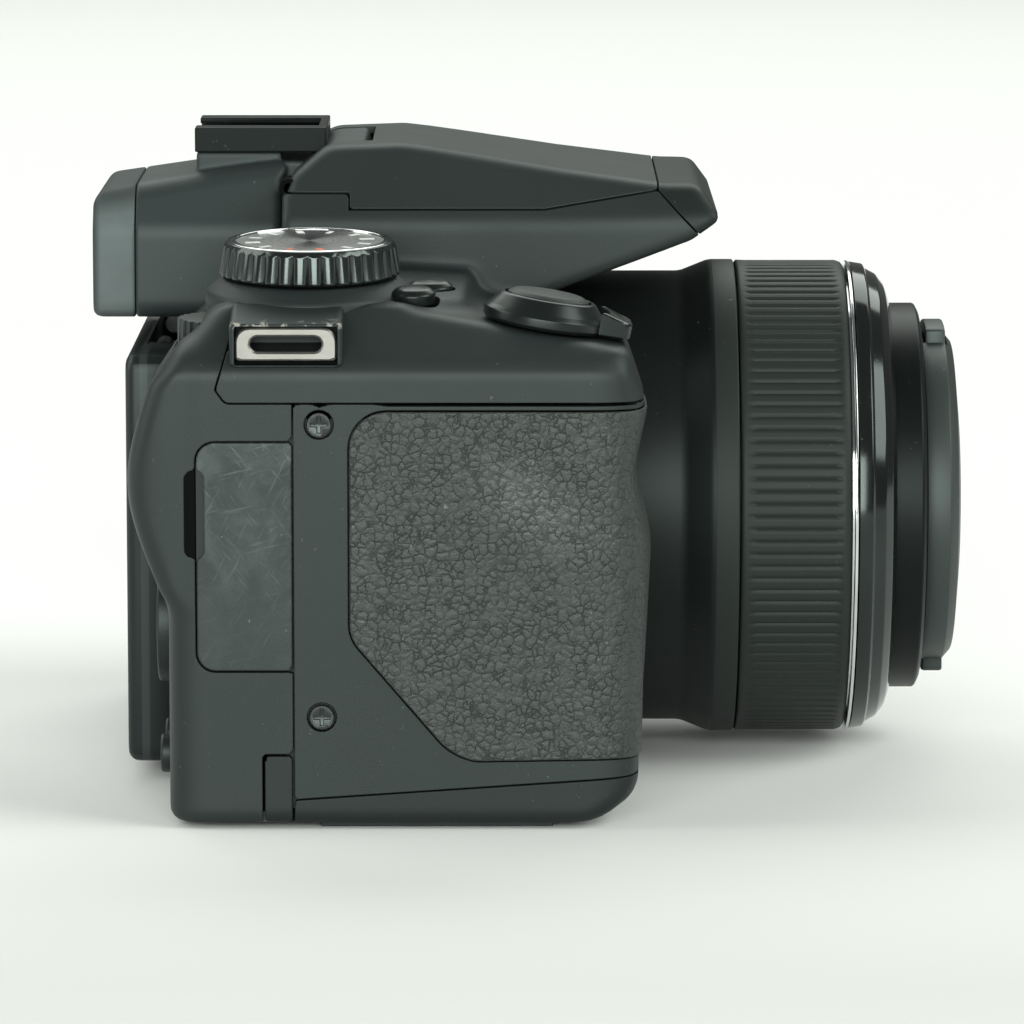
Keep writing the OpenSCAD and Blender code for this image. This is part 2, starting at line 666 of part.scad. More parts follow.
module cover_screws() {
    color("#1a1b1c") {
        for (s = side_screws) {
            difference() {
                union() {
                    rod_x(screw_r, -grip_x + 0.35, -grip_x + 1.15, s[0], s[1]);
                    rod_x(shank_r, -grip_x + 0.9, -grip_x + wall + 0.2, s[0], s[1]);
                }
                block(-grip_x, -grip_x + 0.8, s[0] - 1.1, s[0] + 1.1, s[1] - 0.25, s[1] + 0.25);
                block(-grip_x, -grip_x + 0.8, s[0] - 0.25, s[0] + 0.25, s[1] - 1.1, s[1] + 1.1);
            }
        }
        for (s = base_screws) {
            difference() {
                union() {
                    rod_z(screw_r, s[0], s[1], 0.2, 0.95);
                    rod_z(shank_r, s[0], s[1], 0.8, wall + 0.3);
                }
                block(s[0] - 1.1, s[0] + 1.1, s[1] - 0.25, s[1] + 0.25, 0, 0.6);
                block(s[0] - 0.25, s[0] + 0.25, s[1] - 1.1, s[1] + 1.1, 0, 0.6);
            }
        }
    }
}
module tripod_bush() {
    color("#9a9d9f") difference() {
        union() {
            rod_z(7, 0, 0, 0, wall);
            rod_z(8.4, 0, 0, wall + 0.05, wall + 1.2);
            rod_z(5.6, 0, 0, 0, lens_z - tube_r - 0.6);
        }
        rod_z(2.55, 0, 0, -1, lens_z - tube_r - 1.2);
    }
}
module chassis() {
    color("#a4a8aa") union() {
        difference() {
            block(5.5 - grip_in_x, left_x - wall - 0.4, seam_y - 1.4, seam_y - 0.4, wall + 0.3,
                seam_z - 1.2);
            block(-14, 14, seam_y - 6, seam_y + 4, lens_z - 12, lens_z + 12);
        }
        for (x = [10.5 - grip_in_x, left_x - 9.6]) {
            for (z = [8, seam_z - 7.2]) {
                rod_y(2, x, seam_y - 1, seam_y + 2, z);
            }
        }
    }
}
module main_board() {
    chip_y = seam_y + 3.6;
    color("#1f5a3a") union() {
        block(6.5 - grip_in_x, left_x - 5.6, seam_y + 2.05, chip_y, 5, seam_z - 3.2);
        block(-20, -4, chip_y, chip_y + 1.8, 20, 36);
        block(8, 20, chip_y, chip_y + 1.4, 16, 28);
        block(24, 38, chip_y, chip_y + 2.8, 34, 40);
    }
}
module battery_chamber() {
    color("#2c2f31") difference() {
        block(chamber_x0, chamber_x0 + chamber_w, chamber_y0, chamber_y0 + chamber_l, chamber_z0,
            chamber_z0 + chamber_h);
        block(cell_x0 - 0.2, cell_x0 + cell_w + 0.2, cell_y0 - 0.3, cell_y0 + cell_l + 0.3, 0,
            cell_z0 + cell_h + 0.3);
        block(card_x - 0.2, card_x + card_t + 0.2, card_y - 0.2, card_y + card_w + 0.2, 0,
            card_z0 + card_l + 0.2);
    }
}
module battery() {
    color("#3b3e45") block(cell_x0, cell_x0 + cell_w, cell_y0, cell_y0 + cell_l, cell_z0, cell_z0 + cell_h);
}
module memory_card() {
    color("#24405e") difference() {
        block(card_x, card_x + card_t, card_y, card_y + card_w, card_z0, card_z0 + card_l);
        translate([0, card_y + card_w, card_z0 + card_l]) rotate([45, 0, 0]) cube([far, 5, 5],
            center = true);
    }
}
module terminal_sockets() {
    color("#222425") difference() {
        block(-grip_x + 2.4, -grip_x + 9, door_py + 0.3, door_y - 0.9, door_low + 1.7, door_top - 1.7);
        block(-far, -grip_x + 7, door_py + 2.3, door_py + 7.3, door_low + 0.15 * door_h,
            door_low + 0.54 * door_h);
        block(-far, -grip_x + 7, door_py + 2.5, door_py + 6.9, door_low + 0.63 * door_h,
            door_low + 0.88 * door_h);
    }
}
module lens_base() {
    flange_y = barrel_y + 3;
    foot_y = barrel_y + 1;
    color("#3c4042") union() {
        lens_turned([[bore_r, -tube_back], [tube_r, -tube_back], [tube_r, front_y + 0.2],
            [barrel_r, front_y + 0.2],
            [barrel_r, barrel_y - 3], [ring_r, barrel_y], [ring_r, flange_y], [ring_r - 2.7, flange_y],
            [ring_r - 2.7, ring_y - 0.3], [bore_r, ring_y - 0.3]]);
        lens_turned([[6, -tube_back - 1.5], [tube_r, -tube_back - 1.5], [tube_r, -tube_back],
            [6, -tube_back]]);
        rod_z(0.9, 0, -foot_y, 0, lens_z - ring_r + 1);
    }
}
module rear_lens() {
    color("#3f4f5a") rod_y(5.9, 0, tube_back - 3, tube_back + 1.4, lens_z);
}
module image_sensor() {
    color("#244a36") union() {
        block(-16, 16, tube_back + 1.6, tube_back + 3, lens_z - 14, lens_z + 14);
        block(-6, 6, tube_back + 3, seam_y + 0.2, lens_z - 8, lens_z + 8);
    }
}
module lens_trim_ring() {
    color("#c3c6c7") lens_turned([[ring_r - 2.5, ring_y - 0.2], [ring_r - 2.5, ring_y + 0.05],
        [ring_r - 0.2, ring_y + 0.05],
        [ring_r - 0.2, ring_y + 1.1], [bore_r + 0.4, ring_y + 1.1], [bore_r + 0.4, ring_y - 0.2]]);
}
module lens_bezel() {
    f = ring_y + 1.15;
    color("#0d0e0f") lens_turned([[bore_r + 0.1, f], [ring_r - 0.35, f], [ring_r - 0.6, f + 1.4],
        [ring_r - 1.6, bezel_y - 1.6],
        [bore_r + 2.5, bezel_y - 0.6], [bore_r + 0.7, bezel_y], [bore_r + 0.1, bezel_y]]);
}
module focus_ring() {
    b = barrel_y + 3.3;
    color("#26282a") difference() {
        lens_turned([[ring_r - 2.4, b], [ring_r - 0.1, b], [ring_r - 0.1, b + 0.7], [ring_r - 1.1, b + 0.7],
            [ring_r - 1.1, ring_y - 1], [ring_r - 0.4, ring_y - 1], [ring_r - 0.4, ring_y - 0.3],
                [ring_r - 2.4, ring_y - 0.3]]);
    }
}
module focus_grip() {
    b = barrel_y + 4.1;
    f = ring_y - 1.1;
    color("#1f2122") along_y(-f, -b) translate([0, lens_z]) difference() {
        union() {
            circle(r = ring_r - 0.5, $fn = 240);
            for (i = [0 : ring_ribs - 1]) {
                rotate(i * 360 / ring_ribs) translate([ring_r - 0.5, 0]) square([1, 1.7], center = true);
            }
        }
        circle(r = ring_r - 1.05, $fn = 240);
    }
}
module zoom_barrel() {
    color("#2a2c2e") lens_turned([[inner_r + button_gap, zoom_y0], [zoom_r, zoom_y0],
        [zoom_r, zoom_y - 0.8], [zoom_r - 0.8, zoom_y],
        [inner_r + button_gap, zoom_y]]);
}
module zoom_lens() {
    rim_r = inner_r + button_gap - 0.03;
    color("#4b5d68") union() {
        lens_turned([[0, zoom_y0 + 1.2], [16, zoom_y0 + 1.2], [16, zoom_y0 + 3.4], [0, zoom_y0 + 4.6]]);
        lens_turned([[15.6, zoom_y0 + 0.1], [rim_r, zoom_y0 + 0.1], [rim_r, zoom_y0 + 2.2],
            [15.6, zoom_y0 + 2.2]]);
    }
}
module front_barrel() {
    color("#1e2021") lens_turned([[inner_r - 2.4, front_y0], [inner_r, front_y0],
        [inner_r, zoom_y - 0.3], [inner_r - 0.5, zoom_y + 0.2],
        [inner_r - 1.9, zoom_y + 0.2], [inner_r - 1.9, zoom_y - 3], [inner_r - 2.4, zoom_y - 3]]);
}
module front_lens() {
    color("#55707c") lens_turned([[0, zoom_y - 12], [inner_r - 2.45, zoom_y - 9],
        [inner_r - 2.45, zoom_y - 6], [14, zoom_y - 4.6],
        [0, zoom_y - 4]]);
}
// Slots for the two pinch tabs of the cap
module tab_space(s, e) {
    translate([0, 0, lens_z]) mirror([0, 0, s > 0 ? 0 : 1])
        block(-6 - e, 6 + e, -(zoom_y + cap_t - 1.8 + e), -(zoom_y + 0.8 - e),
            cap_r - 7 - (e > 0 ? 2.2 : 0), far);
}
module lens_cap() {
    b = zoom_y + 0.3;
    f = b + cap_t;
    color("#151617") difference() {
        lens_turned([[0, b + 1.4], [inner_r - 3.6, b + 1.4], [inner_r - 3.6, b - 2],
            [inner_r - 2.2, b - 2], [inner_r - 2.2, b],
            [cap_r, b], [cap_r, f - 2.2], [cap_r - 1.4, f - 1], [cap_r - 8, f - 0.3], [0, f]]);
        tab_space(1, 0.3);
        tab_space(-1, 0.3);
    }
}
module cap_tab(s) {
    intersection() {
        tab_space(s, 0);
        lens_turned([[0, 0], [cap_r + 1.6, 0], [cap_r + 1.6, zoom_y + 20], [0, zoom_y + 20]]);
    }
}
module cap_tab_upper() {
    color("#1c1d1e") cap_tab(1);
}
module cap_tab_lower() {
    color("#1c1d1e") cap_tab(-1);
}
module mode_dial() {
    color("#26282a") on_dial() difference() {
        union() {
            translate([0, 0, 0.4]) linear_extrude(dial_h - 0.4) union() {
                circle(r = dial_r - 0.45);
                for (i = [0 : dial_ribs - 1]) {
                    rotate(i * 360 / dial_ribs) translate([dial_r - 0.5, 0]) square([1, 0.9],
                        center = true);
                }
            }
            translate([0, 0, -3]) cylinder(r = 2.5, h = 4);
        }
        translate([0, 0, dial_h - 0.4]) cylinder(r = dial_r - 1.8, h = 2);
    }
}
module mode_dial_disc() {
    color("#a9acad") on_dial() translate([0, 0, dial_h - 0.4]) rotate_extrude()
        polygon([[0, 0], [dial_r - 1.9, 0], [dial_r - 1.9, 0.5], [dial_r - 2.6, 0.8], [0, 0.9]]);
}
module zoom_ring() {
    color("#3a3d3f") on_deck() rotate_extrude() polygon([[2.7, -3], [4, -3], [4, 0.35], [zring_r, 0.35],
        [zring_r, 2.2],
        [zring_r - 0.5, 3.2], [shutter_r + 0.9, 4.2], [shutter_r + 0.3, 4.2], [shutter_r + 0.3, 1],
            [2.7, 1]]);
}
module zoom_tab() {
    color("#101112") on_deck() difference() {
        linear_extrude(4.6) outline([[-4.4, -6], [-3.8, -zring_r - 3.4, 1.6], [3.8, -zring_r - 3.4, 1.6],
            [4.4, -6]]);
        translate([0, 0, -1]) cylinder(r = zring_r + 0.05, h = 8);
        translate([-far, -far, -1]) cube([2 * far, 2 * far, 1.5]);
        translate([0, -zring_r - 3.4, 4.6]) rotate([45, 0, 0]) cube([far, 1.6, 1.6], center = true);
    }
}
module shutter_button() {
    head_z = shutter_travel + 1.2;
    color("#4a4d4f") on_deck() rotate_extrude() polygon([[0, -2], [2.4, -2], [2.4, head_z],
        [shutter_r, head_z], [shutter_r, 4.3], [shutter_r - 0.8, 4.9], [0, 5.2]]);
}
// A domed button of radius r that stands h above its surface
module domed(r, h) {
    rotate_extrude() polygon([[0, -1.6], [r, -1.6], [r, h - 0.8], [r - 0.7, h - 0.25], [0, h]]);
}
module power_button() {
    color("#34373a") on_top(power_at[0], power_at[1], power_at[2]) domed(topb_r, 1.3);
}
module exposure_button() {
    color("#34373a") on_top(exposure_at[0], exposure_at[1], exposure_at[2]) domed(topb_r, 1.3);
}
module command_dial() {
    color("#1d1f20") translate([wheel_x, wheel_y, wheel_z - wheel_t / 2]) union() {
        linear_extrude(wheel_t) union() {
            circle(r = wheel_r - 0.35);
            for (i = [0 : 27]) {
                rotate(i * 360 / 28) translate([wheel_r - 0.5, 0]) square([1, 0.8], center = true);
            }
        }
        translate([0, 0, -2.4]) cylinder(r = 1.5, h = 3);
    }
}
module flash_lid() {
    color("#45494b") difference() {
        union() {
            difference() {
                intersection() {
                    hump_solid();
                    along_x(-far, far) outline(lid_region, half_gap);
                }
                hump_solid(1.6);
            }
            for (s = [-1, 1]) {
                at_hinge(s) flash_ears();
            }
        }
        for (s = [-1, 1]) {
            at_hinge(s) block(-1.1, 1.1, hinge_py - 1.8, far, lid_seam_z - 4, hinge_pz + 1.7);
            at_hinge(s) rod_x(pin_r + pin_play, -2.8, 2.8, hinge_py, hinge_pz);
        }
        block(-shoe_half - 1.85, shoe_half + 1.85, lid_py - 3.9, far, lid_seam_z - 9, far);
    }
}
// Ears of the flash lid on both sides of the fixed knuckle
module flash_ears() {
    rod_x(ear_r, -2.5, -1.1, hinge_py, hinge_pz);
    rod_x(ear_r, 1.1, 2.5, hinge_py, hinge_pz);
}
module flash_lamp() {
    color("#d9dde0") difference() {
        intersection() {
            block(-17, 17, 14.2 - nose_y, 24 - nose_y, hump_z - 13.8, hump_z + 1);
            hump_solid(1.65);
        }
        along_x(-15, 15) polygon([[2 - nose_y, hump_z - 13], [14 - nose_y, hump_z - 13],
            [20 - nose_y, hump_z - 11.4],
            [20 - nose_y, hump_z - 9.4], [14 - nose_y, hump_z - 7.4], [2 - nose_y, hump_z - 7.4]]);
    }
}
module flash_window() {
    color("#e6ebee") along_x(-15.6, 15.6) outline([[13 - nose_y, hump_z - 13.6, 0.6],
        [14.15 - nose_y, hump_z - 13.6], [14.15 - nose_y, hump_z - 7.2],
            [13 - nose_y, hump_z - 7.2, 0.6]]);
}
module flash_hinge_pins() {
    color("#8d9193") for (s = [-1, 1]) {
        at_hinge(s) rod_x(pin_r, -2.5, 2.5, hinge_py, hinge_pz);
    }
}
module flash_button() {
    color("#34373a") union() {
        rod_x(2.6, hump_x - wall - 0.6, hump_x + 0.7, flash_b_y, flash_b_z);
        rod_x(3.2, hump_x - wall - 3.2, hump_x - wall - 1.9, flash_b_y, flash_b_z);
        rod_x(1.6, hump_x - wall - 2.2, hump_x - wall - 0.2, flash_b_y, flash_b_z);
    }
}
// Knuckles of the screen bracket at a hinge line, with their pins
module bracket_knuckle(x, z) {
    rod_x(1.3, x - 3, x + 3, hinge_y, z);
    block(x - 3, x + 3, rear_y + 0.2, hinge_y, z - 0.6, z + 0.6);
}
module screen_bracket() {
    color("#7d8183") union() {
        block(screen_cx - 25, screen_cx + 25, rear_y + 0.2, rear_y + 0.8, hinge_lz + 2.4, hinge_hz - 2.4);
        for (x = [screen_cx - knuckle_dx, screen_cx + knuckle_dx]) {
            bracket_knuckle(x, hinge_lz);
            bracket_knuckle(x, hinge_hz);
            block(x - 3, x + 3, rear_y + 0.2, rear_y + 0.8, hinge_lz - 0.6, hinge_hz + 0.6);
        }
        for (z = [hinge_lz, hinge_hz]) {
            rod_x(pin_r, screen_cx - lug_dx - 2, screen_cx - knuckle_dx + 2.6, hinge_y, z);
            rod_x(pin_r, screen_cx + knuckle_dx - 2.6, screen_cx + lug_dx + 2, hinge_y, z);
        }
    }
}
module screen_housing() {
    x0 = screen_x;
    x1 = screen_x + screen_w;
    y1 = screen_y + screen_t;
    color("#1d1f20") difference() {
        union() {
            difference() {
                along_y(screen_y, y1) outline([[x0, screen_low, 2.5], [x1, screen_low, 2.5],
                    [x1, screen_top, 2.5],
                    [x0, screen_top, 2.5]]);
                block(screen_cx - 24, screen_cx + 24, screen_y - 1, hinge_y + 1.9, screen_low - 1,
                    hinge_lz + 2.4);
                block(screen_cx - 24, screen_cx + 24, screen_y - 1, hinge_y + 1.9, hinge_hz - 2.4,
                    screen_top + 1);
            }
            for (x = [screen_cx - lug_dx, screen_cx + lug_dx]) {
                screen_lug(x);
            }
        }
        block(x0 + 2.6, x1 - 2.6, y1 - 1, y1 + 1, screen_low + 4.4, screen_top - 2.6);
    }
}
// Lug of the screen housing at the upper hinge line, with its bore
module screen_lug(x) {
    difference() {
        union() {
            rod_x(1.4, x - 2, x + 2, hinge_y, hinge_hz);
            block(x - 2, x + 2, hinge_y, hinge_y + 2.4, hinge_hz - 1.2, hinge_hz + 1.2);
        }
        rod_x(pin_r + pin_play, x - 3, x + 3, hinge_y, hinge_hz);
    }
}
module screen_glass() {
    y1 = screen_y + screen_t;
    color("#0c1014") block(screen_x + 2.7, screen_x + screen_w - 2.7, y1 - 0.95, y1, screen_low + 4.5,
        screen_top - 2.7);
}
module selector_pad() {
    color("#222425") difference() {
        rod_y(pad_r, pad_at[0], rear_y - 0.9, rear_y + 1.2, pad_at[1]);
        rod_y(4 + button_gap, pad_at[0], rear_y - 3, rear_y + 3, pad_at[1]);
    }
}
// A round rear button that stands h above the rear face
module rear_button(p, r, h) {
    rod_y(r, p[0], rear_y - 0.9, rear_y + h, p[1]);
}
module ok_button() {
    color("#2d2f31") rear_button(pad_at, 4, 1);
}
module play_button() {
    color("#2d2f31") rear_button(play_at, 2.6, 0.8);
}
module menu_button() {
    color("#2d2f31") rear_button(menu_at, 2.6, 0.8);
}
module display_button() {
    color("#2d2f31") rear_button(display_at, 2.6, 0.8);
}
// Outline of the terminal door, grown by e
module door_outline(e) {
    along_x(-far, -grip_x + 12) outline([[door_py, door_low - e], [door_y + e, door_low - e, 3],
        [door_y + e, door_top + e, 3],
        [door_py, door_top + e]]);
}
module door_cut() {
    door_outline(half_gap);
    rod_z(0.9 + half_gap, door_px, door_py, door_low - half_gap, door_top + half_gap);
    block(-far, door_px, door_py - 0.9 - half_gap, door_py + 1, door_low - half_gap, door_top + half_gap);
    rod_z(0.35 + pin_play, door_px, door_py, door_low - 1.6, door_top + 1.6);
}
// Shallow recess for a fingernail behind the free edge of the terminal door
module finger_pull() {
    block(-far, 1.1 - grip_x, door_y - 1, door_y + 1.4, door_low + 0.5 * door_h,
        door_low + 0.87 * door_h);
}
module terminal_door() {
    color("#4d5153") union() {
        difference() {
            intersection() {
                body_solid();
                door_outline(0);
            }
            body_solid(door_t);
            finger_pull();
        }
        rod_z(0.9, door_px, door_py, door_low, door_top);
        rod_z(0.35, door_px, door_py, door_low - 1.5, door_top + 1.5);
    }
}
flap_low = 0.3;
flap_y = door_py + 3;
module flap_cut() {
    block(-far, -grip_x + 1.9, door_py, flap_y + 0.3, -1, flap_h + half_gap);
    rod_z(0.9 + half_gap, door_px, door_py, -1, flap_h + half_gap);
    block(-far, door_px, door_py - 0.9 - half_gap, door_py + 1, -1, flap_h + half_gap);
    rod_z(0.35 + pin_play, door_px, door_py, 0, flap_h + 1.6);
}
module power_flap() {
    color("#3f4345") union() {
        difference() {
            intersection() {
                body_solid();
                block(-far, -grip_x + 1.7, door_py, flap_y, flap_low, flap_h);
            }
            body_solid(door_t);
        }
        rod_z(0.9, door_px, door_py, 2.6, flap_h);
        rod_z(0.35, door_px, door_py, flap_h - 1, flap_h + 1.5);
    }
}
module battery_door() {
    color("#303335") difference() {
        union() {
            intersection() {
                body_solid();
                block(bat_x0, bat_px - 1.4, bat_y0, bat_y1, 0, wall);
            }
            block(bat_px - 2, bat_px, bat_y0 + 0.3, bat_y1 - 0.3, 0.4, wall);
            battery_knuckle();
            rod_y(pin_r, bat_px, bat_y0 - 1.4, bat_y1 + 1.4, bat_pz);
        }
        latch_space(0.2, 2.2);
    }
}
// Recess for the battery latch, grown by e and longer by l
module latch_space(e, l) {
    block(bat_x0 + 3 - e, bat_x0 + 7 + e, latch_y0 - e, latch_y0 + 10 + l + e, -1, 1);
}
module battery_latch() {
    color("#3a3d3f") difference() {
        block(bat_x0 + 3, bat_x0 + 7, latch_y0, latch_y0 + 10, 0.1, 0.95);
        for (i = [0 : 3]) {
            block(bat_x0 + 2, bat_x0 + 8, latch_y0 + 1.4 + 2 * i, latch_y0 + 2.2 + 2 * i, -1, 0.4);
        }
    }
}

front_cover();
rear_cover();
top_cover();
base_cover();
grip_rubber();
nose_panel();
viewfinder_housing();
eyecup();
eyepiece_lens();
dioptre_dial();
hot_shoe();
strap_lugs();
cover_screws();
tripod_bush();
chassis();
main_board();
battery_chamber();
battery();
memory_card();
terminal_sockets();
lens_base();
rear_lens();
image_sensor();
lens_trim_ring();
lens_bezel();
focus_ring();
focus_grip();
zoom_barrel();
zoom_lens();
front_barrel();
front_lens();
lens_cap();
cap_tab_upper();
cap_tab_lower();
mode_dial();
mode_dial_disc();
zoom_ring();
zoom_tab();
shutter_button();
power_button();
exposure_button();
command_dial();
flash_lid();
flash_lamp();
flash_window();
flash_hinge_pins();
flash_button();
screen_bracket();
screen_housing();
screen_glass();
selector_pad();
ok_button();
play_button();
menu_button();
display_button();
terminal_door();
power_flap();
battery_door();
battery_latch();
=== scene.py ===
import json
import math

import bmesh
import bpy
import numpy as np
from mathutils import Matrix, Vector

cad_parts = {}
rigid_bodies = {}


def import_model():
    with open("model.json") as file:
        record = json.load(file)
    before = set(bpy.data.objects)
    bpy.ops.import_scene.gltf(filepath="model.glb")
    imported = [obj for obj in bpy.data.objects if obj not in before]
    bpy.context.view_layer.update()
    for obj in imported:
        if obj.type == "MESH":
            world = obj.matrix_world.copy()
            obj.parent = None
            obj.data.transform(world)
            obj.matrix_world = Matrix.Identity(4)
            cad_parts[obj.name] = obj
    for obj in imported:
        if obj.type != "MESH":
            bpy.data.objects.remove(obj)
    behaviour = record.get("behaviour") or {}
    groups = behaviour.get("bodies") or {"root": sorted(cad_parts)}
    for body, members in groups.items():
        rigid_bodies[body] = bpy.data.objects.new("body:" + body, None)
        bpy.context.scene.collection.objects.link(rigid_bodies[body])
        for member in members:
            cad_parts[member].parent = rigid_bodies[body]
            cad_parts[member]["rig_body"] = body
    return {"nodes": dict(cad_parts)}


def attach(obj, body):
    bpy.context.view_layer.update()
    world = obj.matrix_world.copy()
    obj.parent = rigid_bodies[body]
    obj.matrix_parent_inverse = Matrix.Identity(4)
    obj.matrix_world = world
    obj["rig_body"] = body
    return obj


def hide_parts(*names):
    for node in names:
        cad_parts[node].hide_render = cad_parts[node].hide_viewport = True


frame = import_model()
NODES = frame["nodes"]
BODY_OF = {n: o["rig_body"] for n, o in NODES.items()}
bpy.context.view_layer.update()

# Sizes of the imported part, in millimetres
GX, LX, RY, FY = 67.0, 55.6, 33.4, 14.0  # grip side, left side, rear face and front face
GY, GIN = 30.4, 44.5  # front and inner side of the grip
CREASE, TOP = 61.3, 72.4  # foot of the shoulders and the top
SEAM, SEAMY = 57.2, 16.0  # seam of the top cover, and between the front and rear covers
LZ, BR, RR = 35.4, 32.0, 33.6  # lens axis, and radii of its base barrel and focus ring
BY, RGY, BZY, ZY = 41.4, 60.2, 66.3, 70.6  # front ends of the barrel, ring, bezel and zoom barrel
ZR = 27.4  # radius of the zoom barrel
HX, HZ, NY = 25.5, 87.4, 42.0  # half width, height and nose of the flash hump
EX, EZ, EY, EL, CUP = 18.2, 85.3, 39.4, 62.4, 6.0  # viewfinder half width, top, rear end and foot, eyecup depth
CZ = EZ - 4.9  # top of the eyecup
ROOF_Y, ROOF_Z, ROOF_SLOPE = 19, 84.4, 0.1553  # start and fall of the viewfinder's roof
PX, PY, PZ = 18.3, 17.9, 81.3  # hinge of the flash lid
DIAL, RELEASE = (-46.0, 14.2), (-53.5, -17.2)  # axes of the mode dial and the shutter button
POWER, EXPOSURE = (-52.6, 0.2), (-44.0, -2.0)  # axes of the two top buttons
LUG_Y, LUG_HALF, LUG_FOOT, LUG_TOP = 16.8, 6.8, 62.3, 67.4  # windows of the strap lugs
GAP = 0.17  # seam between two panels


# Outlines and fields: a field is the signed distance to a form, negative inside
def rounded(pts, n=10):
    """A closed outline with its corners rounded. A point is [u, v] or [u, v, radius]."""
    out = []
    m = len(pts)
    for i, p in enumerate(pts):
        b = np.array(p[:2], float)
        r = p[2] if len(p) > 2 else 0
        if r <= 0:
            out.append(b)
            continue
        a = np.array(pts[i - 1][:2], float)
        c = np.array(pts[(i + 1) % m][:2], float)
        u = (a - b) / np.linalg.norm(a - b)
        v = (c - b) / np.linalg.norm(c - b)
        h = math.acos(max(-1.0, min(1.0, float(u @ v)))) / 2
        o = b + (u + v) / np.linalg.norm(u + v) * r / math.sin(h)
        s = b + u * r / math.tan(h) - o
        e = b + v * r / math.tan(h) - o
        a0 = math.atan2(s[1], s[0])
        d = (math.atan2(e[1], e[0]) - a0 + math.pi) % (2 * math.pi) - math.pi
        for k in range(n + 1):
            out.append(o + r * np.array([math.cos(a0 + d * k / n), math.sin(a0 + d * k / n)]))
    return np.array(out)


def sd_poly(poly, u, v):
    """Signed distance to an outline."""
    u, v = np.broadcast_arrays(np.asarray(u, np.float32), np.asarray(v, np.float32))
    d = np.full(u.shape, 1e9, np.float32)
    inside = np.zeros(u.shape, bool)
    for i in range(len(poly)):
        a, b = poly[i], poly[i - 1]
        ex, ey = float(b[0] - a[0]), float(b[1] - a[1])
        q = ex * ex + ey * ey
        if q < 1e-12:
            continue
        wx, wy = u - np.float32(a[0]), v - np.float32(a[1])
        t = np.clip((wx * ex + wy * ey) / q, 0, 1)
        d = np.minimum(d, (wx - ex * t) ** 2 + (wy - ey * t) ** 2)
        if abs(ey) > 1e-9:
            inside ^= ((a[1] > v) != (b[1] > v)) & (u < ex * wy / ey + np.float32(a[0]))
    d = np.sqrt(d)
    return np.where(inside, -d, d)


def rmax(r, *fs):
    """What lies in all of the fields, with edges of radius r."""
    big = fs[0]
    acc = np.maximum(fs[0] + r, 0) ** 2
    for f in fs[1:]:
        big = np.maximum(big, f)
        acc = acc + np.maximum(f + r, 0) ** 2
    return np.minimum(big, -r) + np.sqrt(acc)


def most(*fs):
    """What lies in all of the fields, with sharp edges."""
    r = fs[0]
    for f in fs[1:]:
        r = np.maximum(r, f)
    return r


def smin(a, b, k):
    """Two fields joined with a blend of size k."""
    h = np.maximum(k - np.abs(a - b), 0) / k
    return np.minimum(a, b) - h * h * k / 4


SIDE = rounded([[RY, 0, 2.5], [RY, 61, 2], [24, TOP, 2], [-26.6, 69.1, 0.8], [-0.5 - GY, 56.6, 4], [1.6 - GY, 47.8, 8],
                [-1.1 - GY, 38, 12], [0.2 - GY, 19, 12], [0.5 - GY, 4.6, 4], [7.5 - GY, 0, 7]])
PLAN = rounded([[LX, RY, 7], [LX, -FY, 10], [4.5 - GIN, -FY, 3], [-GIN, -GY - 2.0, 7], [-GX, -GY - 2.0, 9],
                [-GX, RY, 6]])
FRONT = rounded([[-GX, 0, 2.5], [-GX, CREASE, 1.5], [9 - GX, 69.4, 3], [-25, TOP + 0.2], [25, TOP + 0.2],
                 [LX - 8.6, 69.4, 3], [LX, CREASE, 1.5], [LX, 0, 2.5]])
PLATEAU = rounded([[-120, 120], [-120, 2.6], [-57, 2.4, 5], [-50.5, -6.2, 6], [-10, -8.6], [120, -8.6], [120, 120]])
THUMB_S = rounded([[30.4, 30], [RY, 31, 4], [40.0, 46, 12], [34.8, 59.6, 2], [30.4, 64]])
THUMB_P = rounded([[-GX, 0], [-42.5, 0], [-42.5, 39, 4], [-GX, 39, 6]])
HUMP_S = rounded([[18.8, 62], [18.8, 80.2], [17.9, 81.2], [17.9, HZ - 4.8, 2.5], [12.6, HZ - 0.5, 4.5], [2.4, HZ, 3],
                  [-19.6, HZ - 3.5, 3], [-34, HZ - 5.4, 3], [3.2 - NY, HZ - 5.5, 2.2], [-NY, 77.4, 1.2],
                  [4.2 - NY, 74.4, 2], [-11, 64.4], [-11, 62]])
HUMP_F = rounded([[-HX, 60], [HX, 60], [HX, 77, 4], [HX - 8.5, HZ + 0.6, 4], [8.5 - HX, HZ + 0.6, 4], [-HX, 77, 4]])
HUMP_P = rounded([[-HX - 1, 40], [-HX - 1, -20, 30], [-HX + 1.5, -60], [HX - 1.5, -60], [HX + 1, -20, 30],
                  [HX + 1, 40]])
EVF_S = rounded([[19.05, EL], [EY + CUP, EL, 1.4], [EY + CUP, 95], [17.7, 95], [17.7, 84.6], [19.05, 81.6]])
EVF_F = rounded([[-EX, EL, 3], [EX, EL, 3], [EX, EZ - 10, 5], [EX - 6, EZ, 4], [6 - EX, EZ, 4], [-EX, EZ - 10, 5]])


